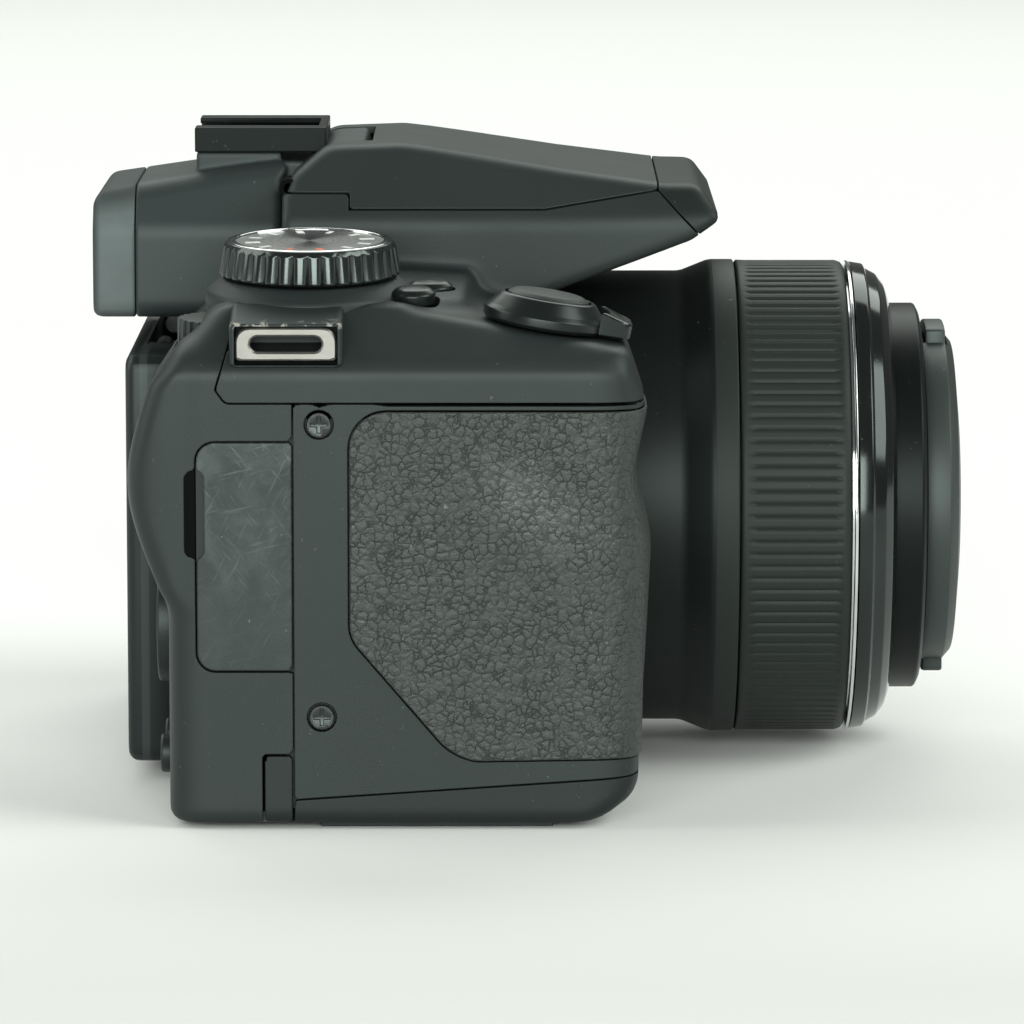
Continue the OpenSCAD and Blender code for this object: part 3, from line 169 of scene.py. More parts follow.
# Surface of a field on a grid
def nets(F, o, h):
    """Vertices, normals and quads of the surface where the field F is zero."""
    S = F < 0
    c = np.zeros(tuple(s - 1 for s in S.shape), np.uint8)
    for i in (0, 1):
        for j in (0, 1):
            for k in (0, 1):
                c += S[i:S.shape[0] - 1 + i, j:S.shape[1] - 1 + j, k:S.shape[2] - 1 + k]
    act = (c > 0) & (c < 8)
    idx = np.full(act.shape, -1, np.int32)
    I = np.argwhere(act)
    idx[act] = np.arange(len(I))
    acc = np.zeros((len(I), 3))
    cnt = np.zeros(len(I))
    corners = [(i, j, k) for i in (0, 1) for j in (0, 1) for k in (0, 1)]
    for a in corners:
        for ax in range(3):
            if a[ax]:
                continue
            b = list(a)
            b[ax] = 1
            fa = F[I[:, 0] + a[0], I[:, 1] + a[1], I[:, 2] + a[2]]
            fb = F[I[:, 0] + b[0], I[:, 1] + b[1], I[:, 2] + b[2]]
            m = (fa < 0) != (fb < 0)
            t = fa[m] / (fa[m] - fb[m])
            p = np.tile(np.array(a, float), (m.sum(), 1))
            p[:, ax] += t
            acc[m] += p
            cnt[m] += 1
    V = (acc / cnt[:, None] + I) * h + o
    quads = []
    for ax in range(3):
        u, w = (ax + 1) % 3, (ax + 2) % 3
        lo = [slice(None)] * 3
        hi = [slice(None)] * 3
        lo[ax] = slice(0, -1)
        hi[ax] = slice(1, None)
        e = np.argwhere(S[tuple(lo)] != S[tuple(hi)])
        ok = (e[:, u] > 0) & (e[:, w] > 0) & (e[:, u] < act.shape[u]) & (e[:, w] < act.shape[w])
        e = e[ok]
        q = []
        for du, dw in ((1, 1), (0, 1), (0, 0), (1, 0)):
            p = e.copy()
            p[:, u] -= du
            p[:, w] -= dw
            q.append(idx[p[:, 0], p[:, 1], p[:, 2]])
        q = np.stack(q, 1)
        flip = ~S[e[:, 0], e[:, 1], e[:, 2]]
        q[flip] = q[flip][:, ::-1]
        quads.append(q)
    Q = np.concatenate(quads)
    Q = Q[(Q >= 0).all(1)]
    G = np.stack(np.gradient(F, h), -1)

    def sample(A, P):
        g = (P - o) / h
        b = np.clip(np.floor(g).astype(int), 0, np.array(F.shape) - 2)
        f = g - b
        r = 0
        for i, j, k in corners:
            wgt = (f[:, 0] if i else 1 - f[:, 0]) * (f[:, 1] if j else 1 - f[:, 1]) * (f[:, 2] if k else 1 - f[:, 2])
            s = A[b[:, 0] + i, b[:, 1] + j, b[:, 2] + k]
            r = r + (wgt[:, None] * s if s.ndim == 2 else wgt * s)
        return r

    for _ in range(2):
        g = sample(G, V)
        f = sample(F, V)
        V = V - g * (f / np.maximum((g * g).sum(1), 1e-6))[:, None]
    N = sample(G, V)
    N /= np.maximum(np.linalg.norm(N, axis=1), 1e-9)[:, None]
    return V, N, Q


def grid(lo, hi, h):
    ax = [np.arange(lo[i], hi[i] + h, h, dtype=np.float32) for i in range(3)]
    return ax[0][:, None, None], ax[1][None, :, None], ax[2][None, None, :]


def solid_of(fn, lo, hi, h):
    x, y, z = grid(lo, hi, h)
    F = np.ascontiguousarray(np.broadcast_to(fn(x, y, z), (x.size, y.size, z.size)).astype(np.float32))
    return nets(F, np.array(lo, float), h)


def body_field(x, y, z):
    side = sd_poly(SIDE, y[0], z[0])[None]
    plan = sd_poly(PLAN, x[:, :, 0], y[:, :, 0])[:, :, None]
    front = sd_poly(FRONT, x[:, 0], z[:, 0])[:, None, :]
    plateau = sd_poly(PLATEAU, x[:, :, 0], y[:, :, 0])[:, :, None]
    deck = (z - (64 + (y + 28.2) / 6)) * 0.9864
    step = smin(plateau, deck, 3.4)
    f = rmax(1.0, rmax(2.2, side, plan, front), step)
    ts = sd_poly(THUMB_S, y[0], z[0])[None]
    tp = sd_poly(THUMB_P, x[:, :, 0], y[:, :, 0])[:, :, None]
    return smin(f, rmax(3.0, ts, tp, front), 3.0)


def hump_field(x, y, z):
    s = sd_poly(HUMP_S, y[0], z[0])[None]
    f = sd_poly(HUMP_F, x[:, 0], z[:, 0])[:, None, :]
    p = sd_poly(HUMP_P, x[:, :, 0], y[:, :, 0])[:, :, None]
    return rmax(1.3, s, f, p)


# Clipping and shells
def clip(V, N, Q, g):
    """The part of a quad surface where g is below zero, as vertices, normals and faces."""
    ins = g < 0
    k = ins[Q].sum(1)
    keep = [list(q) for q in Q[k == 4]]
    mix = Q[(k > 0) & (k < 4)]
    T = np.concatenate([mix[:, [0, 1, 2]], mix[:, [0, 2, 3]]]) if len(mix) else np.zeros((0, 3), int)
    kt = ins[T].sum(1) if len(T) else np.zeros(0, int)
    newv = {}
    extra = []

    def cut(a, b):
        key = (a, b) if a < b else (b, a)
        if key not in newv:
            t = g[key[0]] / (g[key[0]] - g[key[1]])
            newv[key] = len(V) + len(extra)
            extra.append((key[0], key[1], min(max(t, 0.03), 0.97)))
        return newv[key]

    for t, n in zip(T.tolist(), kt.tolist()):
        if n == 3:
            keep.append(t)
        elif n == 1:
            while not ins[t[0]]:
                t = t[1:] + t[:1]
            keep.append([t[0], cut(t[0], t[1]), cut(t[0], t[2])])
        elif n == 2:
            while ins[t[2]]:
                t = t[1:] + t[:1]
            keep.append([t[0], t[1], cut(t[1], t[2]), cut(t[0], t[2])])
    if extra:
        e = np.array([x[:2] for x in extra])
        w = np.array([x[2] for x in extra])[:, None]
        V = np.concatenate([V, V[e[:, 0]] * (1 - w) + V[e[:, 1]] * w])
        N = np.concatenate([N, N[e[:, 0]] * (1 - w) + N[e[:, 1]] * w])
    used = np.unique(np.concatenate([np.array(f) for f in keep]))
    remap = np.full(len(V), -1)
    remap[used] = np.arange(len(used))
    V, N = V[used], N[used]
    N = N / np.maximum(np.linalg.norm(N, axis=1), 1e-9)[:, None]
    return V, N, [[int(remap[i]) for i in f] for f in keep]


def shell(V, N, F, bevel, t, lift=0.0):
    """A closed panel: the skin, a rounded lip all round it, walls and an inner skin."""
    half = {}
    for f in F:
        for a, b in zip(f, f[1:] + f[:1]):
            half[(a, b)] = True
    rim = [e for e in half if (e[1], e[0]) not in half]
    nv = len(V)
    V = V + N * lift
    out = np.zeros((nv, 3))
    for a, b in rim:
        o = np.cross(V[b] - V[a], N[a] + N[b])
        out[a] += o
        out[b] += o
    bv = np.array(sorted({v for e in rim for v in e}), int)
    o = out[bv]
    n = N[bv]
    o = o - n * (o * n).sum(1)[:, None]
    o /= np.maximum(np.linalg.norm(o, axis=1), 1e-9)[:, None]
    p = V[bv]
    m = len(bv)
    rings = [(p + o * bevel * 0.38 - n * bevel * 0.08, n * 0.92 + o * 0.38),
             (p + o * bevel * 0.71 - n * bevel * 0.29, n * 0.71 + o * 0.71),
             (p + o * bevel * 0.92 - n * bevel * 0.62, n * 0.38 + o * 0.92),
             (p + o * bevel - n * bevel, o), (p + o * bevel - n * t, o), (p + o * bevel - n * t, -n)]
    at = {int(v): i for i, v in enumerate(bv)}
    VV = [V] + [r[0] for r in rings] + [V - N * t]
    NN = [N] + [r[1] for r in rings] + [-N]
    faces = list(F)
    base = [None] + [nv + m * i for i in range(6)]
    inner = nv + m * 6
    for a, b in rim:
        i, j = at[a], at[b]
        faces.append([b, a, base[1] + i, base[1] + j])
        for k in (1, 2, 3, 4):
            faces.append([base[k] + j, base[k] + i, base[k + 1] + i, base[k + 1] + j])
        faces.append([base[6] + j, base[6] + i, inner + a, inner + b])
    faces += [[inner + i for i in reversed(f)] for f in F]
    return np.concatenate(VV), np.concatenate(NN), faces


MATS = {}


def add(name, V, F, mat, body, nodes=(), normals=None, sharp=None):
    me = bpy.data.meshes.new(name)
    me.from_pydata((np.asarray(V) * 0.001).tolist(), [], [list(map(int, f)) for f in F])
    me.update()
    me.polygons.foreach_set("use_smooth", [True] * len(me.polygons))
    if normals is not None:
        nn = np.asarray(normals)
        nn = nn / np.maximum(np.linalg.norm(nn, axis=1), 1e-9)[:, None]
        me.normals_split_custom_set_from_vertices(nn.tolist())
    elif sharp:
        me.set_sharp_from_angle(angle=math.radians(sharp))
    ob = bpy.data.objects.new(name, me)
    bpy.context.scene.collection.objects.link(ob)
    me.materials.append(MATS[mat])
    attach(ob, body)
    if nodes:
        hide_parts(*nodes)
    return ob


# Materials: a Net is one material, with the nodes that feed its shader
class Net:
    def __init__(self, name):
        self.m = bpy.data.materials.new(name)
        self.m.use_nodes = True
        self.t = self.m.node_tree
        self.b = self.t.nodes["Principled BSDF"]
        self.co = self.t.nodes.new("ShaderNodeTexCoord").outputs["Object"]
        MATS[name] = self.m

    def n(self, kind, links=(), **vals):
        nd = self.t.nodes.new(kind)
        for k, v in vals.items():
            if hasattr(nd, k):
                setattr(nd, k, v)
            else:
                nd.inputs[k.replace("_", " ")].default_value = v
        for k, o in dict(links).items():
            self.t.links.new(o, nd.inputs[k])
        return nd

    def noise(self, scale, detail=2.0, rough=0.5, co=None, dist=0.0):
        return self.n("ShaderNodeTexNoise", {"Vector": co or self.co}, Scale=scale, Detail=detail, Roughness=rough,
                      Distortion=dist).outputs["Fac"]

    def ramp(self, fac, lo, hi, a=0.0, b=1.0):
        nd = self.n("ShaderNodeMapRange", {"Value": fac}, From_Min=lo, From_Max=hi, To_Min=a, To_Max=b)
        return nd.outputs["Result"]

    def mix(self, fac, a, b):
        nd = self.t.nodes.new("ShaderNodeMix")
        nd.data_type = "RGBA"
        for sock, v in ((nd.inputs["Factor"], fac), (nd.inputs[6], a), (nd.inputs[7], b)):
            if hasattr(v, "links"):
                self.t.links.new(v, sock)
            else:
                sock.default_value = v if isinstance(v, float) else (*v, 1.0)
        return nd.outputs[2]

    def math(self, op, a, b):
        nd = self.t.nodes.new("ShaderNodeMath")
        nd.operation = op
        for sock, v in zip(nd.inputs, (a, b)):
            if hasattr(v, "links"):
                self.t.links.new(v, sock)
            else:
                sock.default_value = v
        return nd.outputs[0]

    def bump(self, height, dist, strength):
        return self.n("ShaderNodeBump", {"Height": height}, Distance=dist, Strength=strength).outputs["Normal"]

    def grain(self, scale=5200.0):
        return self.bump(self.noise(scale), 0.00004, 0.3)

    def xyz(self):
        return self.n("ShaderNodeSeparateXYZ", {0: self.co}).outputs

    def out(self, **kw):
        for k, v in kw.items():
            sock = self.b.inputs[k.replace("_", " ")]
            if hasattr(v, "links"):
                self.t.links.new(v, sock)
            else:
                sock.default_value = v if not isinstance(v, tuple) else (*v, 1.0)[:4]
        return self.m


SHEEN = (0.88, 1.0, 0.985)  # tint of the highlights on dark plastic


def plastic(name, col, rough=0.5, grain=0.012, dust=0.25, spec=0.4, scale=5200.0):
    """Moulded plastic with uneven wear, fine grain and specks of dust."""
    wear = 0.06
    m = Net(name)
    big = m.noise(38.0, 3.0)
    fine = m.noise(scale, 2.0, 0.6)
    specks = m.noise(1500.0, 1.0)
    area = m.noise(60.0, 2.0)
    d = m.math("MULTIPLY", m.ramp(specks, 0.74, 0.80), m.ramp(area, 0.45, 0.7))
    c = m.mix(big, tuple(v * (1 - wear) for v in col), tuple(v * (1 + wear) for v in col))
    c = m.mix(m.math("MULTIPLY", d, dust), c, (0.32, 0.31, 0.29))
    r = m.math("ADD", m.ramp(big, 0.3, 0.7, rough - 0.04, rough + 0.04), m.math("MULTIPLY", d, 0.2))
    nrm = m.bump(fine, grain * 0.001 * 4, 0.35)
    return m.out(Base_Color=c, Roughness=r, Normal=nrm, Specular_IOR_Level=spec, Specular_Tint=SHEEN)


def metal(name, col, rough, brush=None):
    m = Net(name)
    co = m.co
    if brush:
        co = m.n("ShaderNodeMapping", {"Vector": m.co}, Scale=brush).outputs["Vector"]
    line = m.noise(1.0 if brush else 900.0, 3.0, 0.6, co)
    blot = m.noise(160.0, 3.0)
    c = m.mix(m.ramp(blot, 0.4, 0.7), tuple(v * (1 - 0.12) for v in col), col)
    r = m.math("ADD", m.ramp(line, 0.3, 0.7, rough - 0.05, rough + 0.07), m.ramp(blot, 0.5, 0.8, 0.0, 0.08))
    return m.out(Base_Color=c, Roughness=r, Metallic=1.0, Normal=m.bump(line, 0.00002, 0.3))


plastic("cover", (0.0118, 0.0154, 0.0155), 0.5, spec=0.345)
plastic("housing", (0.0180, 0.0235, 0.0240), 0.5, spec=0.4)
plastic("base", (0.0078, 0.0102, 0.0103), 0.5, spec=0.31)
plastic("nose", (0.0075, 0.0100, 0.0093), 0.5, spec=0.28)
plastic("black", (0.0100, 0.0120, 0.0120), 0.46)
plastic("barrel", (0.0048, 0.0060, 0.0056), 0.42, dust=0.12, spec=0.25)
plastic("tube", (0.0026, 0.0034, 0.0030), 0.4, dust=0.12, spec=0.16)
plastic("cap", (0.0240, 0.0295, 0.0282), 0.45, spec=0.42)
plastic("soft", (0.0145, 0.0172, 0.0156), 0.5, spec=0.22)
plastic("gloss", (0.0050, 0.0060, 0.0060), 0.12, grain=0.002, dust=0.15, spec=0.5)
plastic("satin", (0.0060, 0.0074, 0.0072), 0.27, grain=0.004, dust=0.2, spec=0.34)
plastic("grip", (0.0055, 0.0066, 0.0064), 0.2, grain=0.003, dust=0.15, spec=0.8)
plastic("rail", (0.0065, 0.0080, 0.0077), 0.36, grain=0.004, dust=0.2, spec=0.1)
# near black and almost without gloss: painted shade for parts deep in slots and recesses, the hinge barrels in the
# lid's slot and the rear floor of the finger pull
plastic("hole", (0.0012, 0.0014, 0.0014), 0.6, dust=0.0, spec=0.05)
plastic("screw", (0.008, 0.008, 0.009), 0.34, spec=0.6, scale=3000.0)
plastic("board", (0.010, 0.060, 0.030), 0.4)
plastic("cell", (0.030, 0.033, 0.042), 0.45)
plastic("card", (0.018, 0.036, 0.075), 0.4)
metal("chrome", (0.78, 0.79, 0.80), 0.10)
metal("steel", (0.62, 0.62, 0.61), 0.30, (300.0, 5000.0, 300.0))
metal("lug", (0.25, 0.244, 0.228), 0.42, (300.0, 300.0, 2600.0))
metal("sheet", (0.46, 0.47, 0.48), 0.38)
metal("plate", (0.10, 0.104, 0.108), 0.34)
metal("bright", (0.86, 0.87, 0.88), 0.16)


def cup():
    """Pale rubber, with its top, bottom and rear edges painted darker as shade."""
    m = Net("cup")
    _, y, z = m.xyz()
    drop = m.math("ADD", z, m.math("MULTIPLY", y, ROOF_SLOPE))
    # painted shade: k falls to 0 towards the cup's top, bottom and rear edges, darkening the colour there
    k = m.math("MULTIPLY", m.ramp(drop, 0.0868, 0.0838), m.ramp(z, 0.0627, 0.0642))
    k = m.math("MULTIPLY", k, m.ramp(y, 0.0452, 0.0443))
    k = m.math("MULTIPLY", k, m.ramp(m.noise(140.0, 3.0), 0.3, 0.7, 0.8, 1.1))
    c = m.mix(k, (0.0200, 0.0250, 0.0252), (0.0920, 0.1100, 0.1110))
    return m.out(Base_Color=c, Roughness=0.6, Normal=m.grain(), Specular_IOR_Level=0.36, Specular_Tint=SHEEN)


cup()


def rubber():
    """Pebbled rubber: broken creases between flat cells, painted darker as shade, and a worn, smoother patch where the
    fingers lie, painted paler as a sheen.
    """
    m = Net("rubber")
    co = m.co
    for sc, amp in ((800.0, 0.0008), (2600.0, 0.00056)):
        warp = m.n("ShaderNodeTexNoise", {"Vector": m.co}, Scale=sc, Detail=2.0, Roughness=0.6)
        off = m.n("ShaderNodeVectorMath", {0: warp.outputs["Color"]}, operation="MULTIPLY_ADD")
        off.inputs[1].default_value = (amp, amp, amp)
        m.t.links.new(co, off.inputs[2])
        co = off.outputs["Vector"]
    cells = m.n("ShaderNodeTexVoronoi", {"Vector": co}, feature="DISTANCE_TO_EDGE", Scale=860.0, Randomness=1.0)
    broken = m.ramp(m.noise(560.0, 2.0), 0.38, 0.60, 0.12, 1.0)
    crease = m.math("MULTIPLY", m.ramp(cells.outputs["Distance"], 0.0, 0.085, 1.0, 0.0), broken)
    plateau = m.ramp(cells.outputs["Distance"], 0.0, 0.42)
    h = m.math("ADD", m.math("MULTIPLY", plateau, 0.30), m.math("MULTIPLY", m.noise(2400.0, 3.0, 0.6), 0.30))
    h = m.math("SUBTRACT", h, m.math("MULTIPLY", crease, 0.42))
    # painted sheen: a patch where the fingers lie, paler in the colour and, as wear, less rough
    mp = m.n("ShaderNodeMapping", {"Vector": m.co}, vector_type="TEXTURE", Scale=(0.06, 0.0125, 0.0058))
    mp.inputs["Location"].default_value = (-0.066, -0.0160, 0.0435)
    mp.inputs["Rotation"].default_value = (0.62, 0.0, 0.0)
    painted_sheen_and_wear = m.n("ShaderNodeTexGradient", {"Vector": mp.outputs["Vector"]}, gradient_type="SPHERICAL").outputs["Fac"]
    painted_sheen_and_wear = m.ramp(m.math("ADD", painted_sheen_and_wear, m.math("MULTIPLY", m.noise(260.0, 3.0), 0.25)), 0.12, 0.85)
    big = m.noise(45.0, 3.0)
    specks = m.ramp(m.noise(1300.0, 1.0), 0.75, 0.80)
    # painted shade: the creases are darker in the colour
    c = m.mix(m.math("MULTIPLY", crease, 0.6), (0.0228, 0.0262, 0.0250), (0.0098, 0.0112, 0.0106))
    c = m.mix(m.ramp(big, 0.35, 0.75, 0.0, 0.25), c, (0.034, 0.038, 0.0356))
    # painted sheen: the patch lightens the colour
    c = m.mix(m.math("MULTIPLY", painted_sheen_and_wear, 0.42), c, (0.060, 0.070, 0.069))
    c = m.mix(m.math("MULTIPLY", specks, 0.3), c, (0.28, 0.275, 0.26))
    rough = m.math("SUBTRACT", m.ramp(big, 0.3, 0.7, 0.42, 0.52), m.math("MULTIPLY", painted_sheen_and_wear, 0.14))
    return m.out(Base_Color=c, Roughness=rough, Normal=m.bump(h, 0.00026, 0.85),
                 Specular_IOR_Level=0.45, Specular_Tint=(0.93, 1.0, 0.96))


rubber()


def shell_side():
    """The screen's housing, with a paler band round its edge: a painted highlight."""
    m = Net("frame")
    y = m.xyz()[1]
    # painted highlight: a paler band round the housing at this depth
    painted_highlight_band = m.math("MULTIPLY", m.ramp(y, 0.0371, 0.0373), m.ramp(y, 0.0382, 0.0384, 1.0, 0.0))
    c = m.mix(painted_highlight_band, (0.0085, 0.0106, 0.0103), (0.0270, 0.0324, 0.0320))
    return m.out(Base_Color=c, Roughness=m.ramp(m.noise(60.0, 3.0), 0.3, 0.7, 0.40, 0.5),
                 Normal=m.grain(), Specular_IOR_Level=0.34, Specular_Tint=SHEEN)


shell_side()


def door():
    """The terminal door: scratches in three directions over blotches, more of them higher up."""
    m = Net("door")
    marks = 0.0
    for turn, sc in ((0.5, (0.02, 0.00040, 0.0055)), (-0.7, (0.02, 0.00033, 0.0042)), (1.3, (0.02, 0.00048, 0.0065))):
        mp = m.n("ShaderNodeMapping", {"Vector": m.co}, vector_type="TEXTURE", Scale=sc)
        mp.inputs["Rotation"].default_value = (turn, 0.0, 0.0)
        line = m.ramp(m.noise(1.0, 3.0, 0.6, mp.outputs["Vector"]), 0.60, 0.74)
        marks = line if isinstance(marks, float) else m.math("MAXIMUM", marks, line)
    blot = m.ramp(m.noise(120.0, 4.0, 0.62, None, 0.5), 0.42, 0.70)
    upper = m.ramp(m.xyz()[2], 0.028, 0.050, 0.25, 1.25)
    s = m.math("MULTIPLY", m.math("ADD", m.math("MULTIPLY", marks, 0.55), m.math("MULTIPLY", blot, 0.55)), upper)
    specks = m.ramp(m.noise(1400.0, 1.0), 0.75, 0.80)
    c = m.mix(m.math("MULTIPLY", s, 0.6), (0.0128, 0.0165, 0.0167), (0.125, 0.145, 0.145))
    c = m.mix(m.math("MULTIPLY", specks, 0.3), c, (0.30, 0.29, 0.27))
    r = m.ramp(s, 0.0, 1.0, 0.5, 0.42)
    return m.out(Base_Color=c, Roughness=r, Normal=m.grain(3200.0), Specular_IOR_Level=0.4, Specular_Tint=SHEEN)


door()


def disc():
    """The dial's disc: metal turned in fine rings about its axis."""
    m = Net("disc")
    mp = m.n("ShaderNodeMapping", {"Vector": m.co}, vector_type="POINT")
    mp.inputs["Location"].default_value = (0.046, -0.0142, 0.0)
    sep = m.n("ShaderNodeSeparateXYZ", {0: mp.outputs["Vector"]})
    rad = m.math("SQRT", m.math("ADD", m.math("MULTIPLY", sep.outputs[0], sep.outputs[0]),
                                m.math("MULTIPLY", sep.outputs[1], sep.outputs[1])), 0.0)
    comb = m.n("ShaderNodeCombineXYZ", {0: rad})
    ring = m.noise(9000.0, 2.0, 0.6, comb.outputs["Vector"])
    c = m.mix(ring, (0.10, 0.10, 0.10), (0.20, 0.20, 0.198))
    tan = m.n("ShaderNodeTangent", direction_type="RADIAL", axis="Z")
    m.t.links.new(tan.outputs["Tangent"], m.b.inputs["Tangent"])
    m.out(Base_Color=c, Metallic=1.0, Roughness=m.ramp(ring, 0.3, 0.7, 0.22, 0.36),
          Normal=m.bump(ring, 0.00003, 0.4))
    m.b.inputs["Anisotropic"].default_value = 0.85
    return m.m


disc()
plastic("mark", (0.62, 0.63, 0.62), 0.5, dust=0.0)
plastic("accent", (0.55, 0.12, 0.04), 0.5, dust=0.0)


def glass(name, col, rough=0.03):
    m = Net(name)
    haze = m.noise(220.0, 3.0)
    c = m.mix(haze, tuple(v * 0.95 for v in col), col)
    return m.out(Base_Color=c, Roughness=m.ramp(haze, 0.4, 0.8, rough, rough + 0.06), Specular_IOR_Level=0.6,
                 Coat_Weight=0.6)


glass("lens", (0.02, 0.024, 0.032))
glass("screen", (0.008, 0.009, 0.010))
glass("flash", (0.55, 0.57, 0.58), 0.12)


def paint():
    """The lug bosses: chipped at the top edge, with the recess painted black as shade."""
    m = Net("boss")
    big = m.noise(60.0, 3.0)
    x, _, z = m.xyz()
    far = m.math("ABSOLUTE", x, 0.0)
    chip = m.noise(520.0, 4.0, 0.7, None, 0.4)
    top = m.ramp(z, 0.0670, 0.0677)
    near = m.ramp(far, 0.0640, 0.0662)
    k = m.math("MULTIPLY", m.math("MULTIPLY", top, near), m.ramp(chip, 0.54, 0.58))
    low = m.ramp(z, 0.0674, 0.0672)
    # painted shade: the recess below the top edge goes near black, on the right boss only
    painted_recess_shade = m.math("MULTIPLY", m.ramp(far, 0.0656, 0.0653), low)
    painted_recess_shade = m.math("MAXIMUM", painted_recess_shade, m.math("MULTIPLY", m.ramp(far, 0.0542, 0.0539), low))
    c = m.mix(big, (0.0120, 0.0160, 0.0162), (0.0140, 0.0182, 0.0184))
    c = m.mix(m.math("MULTIPLY", k, 0.75), c, (0.36, 0.35, 0.31))
    c = m.mix(m.math("MULTIPLY", painted_recess_shade, m.ramp(far, 0.0600, 0.0600001, 0.0, 1.0)), c, (0.002, 0.0022, 0.0022))
    return m.out(Base_Color=c, Roughness=m.ramp(k, 0.0, 1.0, 0.5, 0.6), Normal=m.grain(), Specular_IOR_Level=0.34,
                 Specular_Tint=SHEEN)


paint()

# The skin, in one surface, then the panels cut from it
H = 0.6
LO, HI = (-69.0, -46.0, -2.0), (58.0, 42.0, 92.0)
gx, gy, gz = grid(LO, HI, H)
field = smin(body_field(gx, gy, gz), hump_field(gx, gy, gz), 1.6)
field = np.ascontiguousarray(field.astype(np.float32))
SV, SN, SQ = nets(field, np.array(LO), H)
sx, sy, sz = SV[:, 0], SV[:, 1], SV[:, 2]


def poly_yz(pts):
    return sd_poly(rounded(pts), sy, sz)


def box_at(x0, x1, y0, y1, z0, z1):
    return np.maximum.reduce([x0 - sx, sx - x1, y0 - sy, sy - y1, z0 - sz, sz - z1])


def round_x(y, z, r, lim):
    return np.maximum(np.hypot(sy - y, sz - z) - r, lim)


def round_y(x, z, r, lim):
    return np.maximum(np.hypot(sx - x, sz - z) - r, lim)


def round_z(at, r, lim):
    return np.maximum(np.hypot(sx - at[0], sy - at[1]) - r, lim)


def lug_window(side):
    return np.maximum.reduce([side, np.abs(sy - LUG_Y) - LUG_HALF, LUG_FOOT - sz, sz - LUG_TOP])


# Regions of the skin: each panel, and each opening in one
side_x = sx + GX - 12
back_y = 25 - sy
upper_z = 60 - sz
under_z = sz - 4
ahead_y = sy - 5
top_r = poly_yz([[-80, SEAM], [24.9, SEAM, 1.2], [26.2, 59], [22, 73], [22, 120], [-80, 120]])
base_r = poly_yz([[-80, -9], [SEAMY, -9], [SEAMY, 4], [-80, 10.5]])
lid_r = poly_yz([[40, 80.8], [9.5, 80.8], [9.5, 78.7], [-17.5, 78.7, 1], [-33.2, 81.2], [-34, 120], [40, 120]])
nose_r = poly_yz([[-34, 120], [-33.2, 81.2], [2.4 - NY, 74.4], [2.4 - NY, 60], [-80, 60], [-80, 120]])
slot_r = np.minimum(box_at(-11.2, 11.2, 6.6, 30, 70, 100),
                    most(np.abs(np.abs(sx) - PX) - 1.1, 16.1 - sy, sz - 83.0))
rubber_r = np.maximum(poly_yz([[8.6, 25.8, 5], [8.6, 56.2, 5], [-60, 56.2], [-60, 10], [-8, 9.2, 4],
                               [-4.6, 10.4, 8]]), sx + GIN + 2)
door_r = np.maximum(poly_yz([[SEAMY, 21.3], [28.9, 21.3, 2.6], [28.9, 52.1, 2.6], [SEAMY, 52.1]]), side_x)
flap_r = np.maximum(poly_yz([[SEAMY, -9], [20.1, -9], [20.1, 10.1], [SEAMY, 10.1]]), sx + GX - 1.7)
evf_r = most(sd_poly(EVF_S, sy, sz), sd_poly(EVF_F, sx, sz), sz - ROOF_Z + ROOF_SLOPE * (sy - ROOF_Y))
pull_r = np.maximum(poly_yz([[27.9, 36.7, 0.9], [30.3, 36.7, 0.9], [30.3, 48.1, 0.9], [27.9, 48.1, 0.9]]), side_x)
lens_r = round_y(0, LZ, 29.3, ahead_y)
barrel_r = np.maximum(np.hypot(sx, sz - LZ) - BR - 0.3, ahead_y)
screw_r = np.minimum(round_x(12.5, 54.4, 1.75, side_x), round_x(12.25, 15.2, 1.75, side_x))
rear_r = np.minimum.reduce([round_y(x, z, r, back_y)
                            for x, z, r in ((-50, 25.6, 8.5), (-36, 44, 2.9), (-55.5, 8.4, 2.9), (-43.5, 8.4, 2.9))])
wheel_r = box_at(-58, -42, 15, 80, 63.3, 67.1)
bat_r = box_at(-64.22, -43.6, -18.62, 12.62, -3, 3)
bush_r = round_z((0, 0), 7.12, under_z)
low_r = np.minimum.reduce([round_z(at, 1.75, under_z) for at in ((48, -6), (48, 12), (-36, -8), (28, 10))])
lug_r = np.minimum(lug_window(sx + 58), lug_window(46 - sx))
dial_r = round_z(DIAL, 2.55, upper_z)
shut_r = np.maximum(np.hypot(sx - RELEASE[0], sy - RELEASE[1] + (sz - 65.8) * 0.16) - 4.3, upper_z)
btn_r = np.minimum(round_z(POWER, 3.5, upper_z), round_z(EXPOSURE, 3.3, upper_z))
pop_r = round_x(6, 75, 2.9, 20 - sx)


def panel(name, mat, inside, cuts=(), bevel=0.14, gap=GAP, t=1.5, lift=0.0):
    """One panel of the skin: its region less the openings, as a shell t thick."""
    g = inside + gap / 2 + bevel
    for c in cuts:
        g = np.maximum(g, -c + gap / 2 + bevel)
    V, N, F = clip(SV, SN, SQ, g)
    V, N, F = shell(V, N, F, bevel, t, lift)
    return add("skin_" + name, V, F, mat, BODY_OF[name], (name,), N)


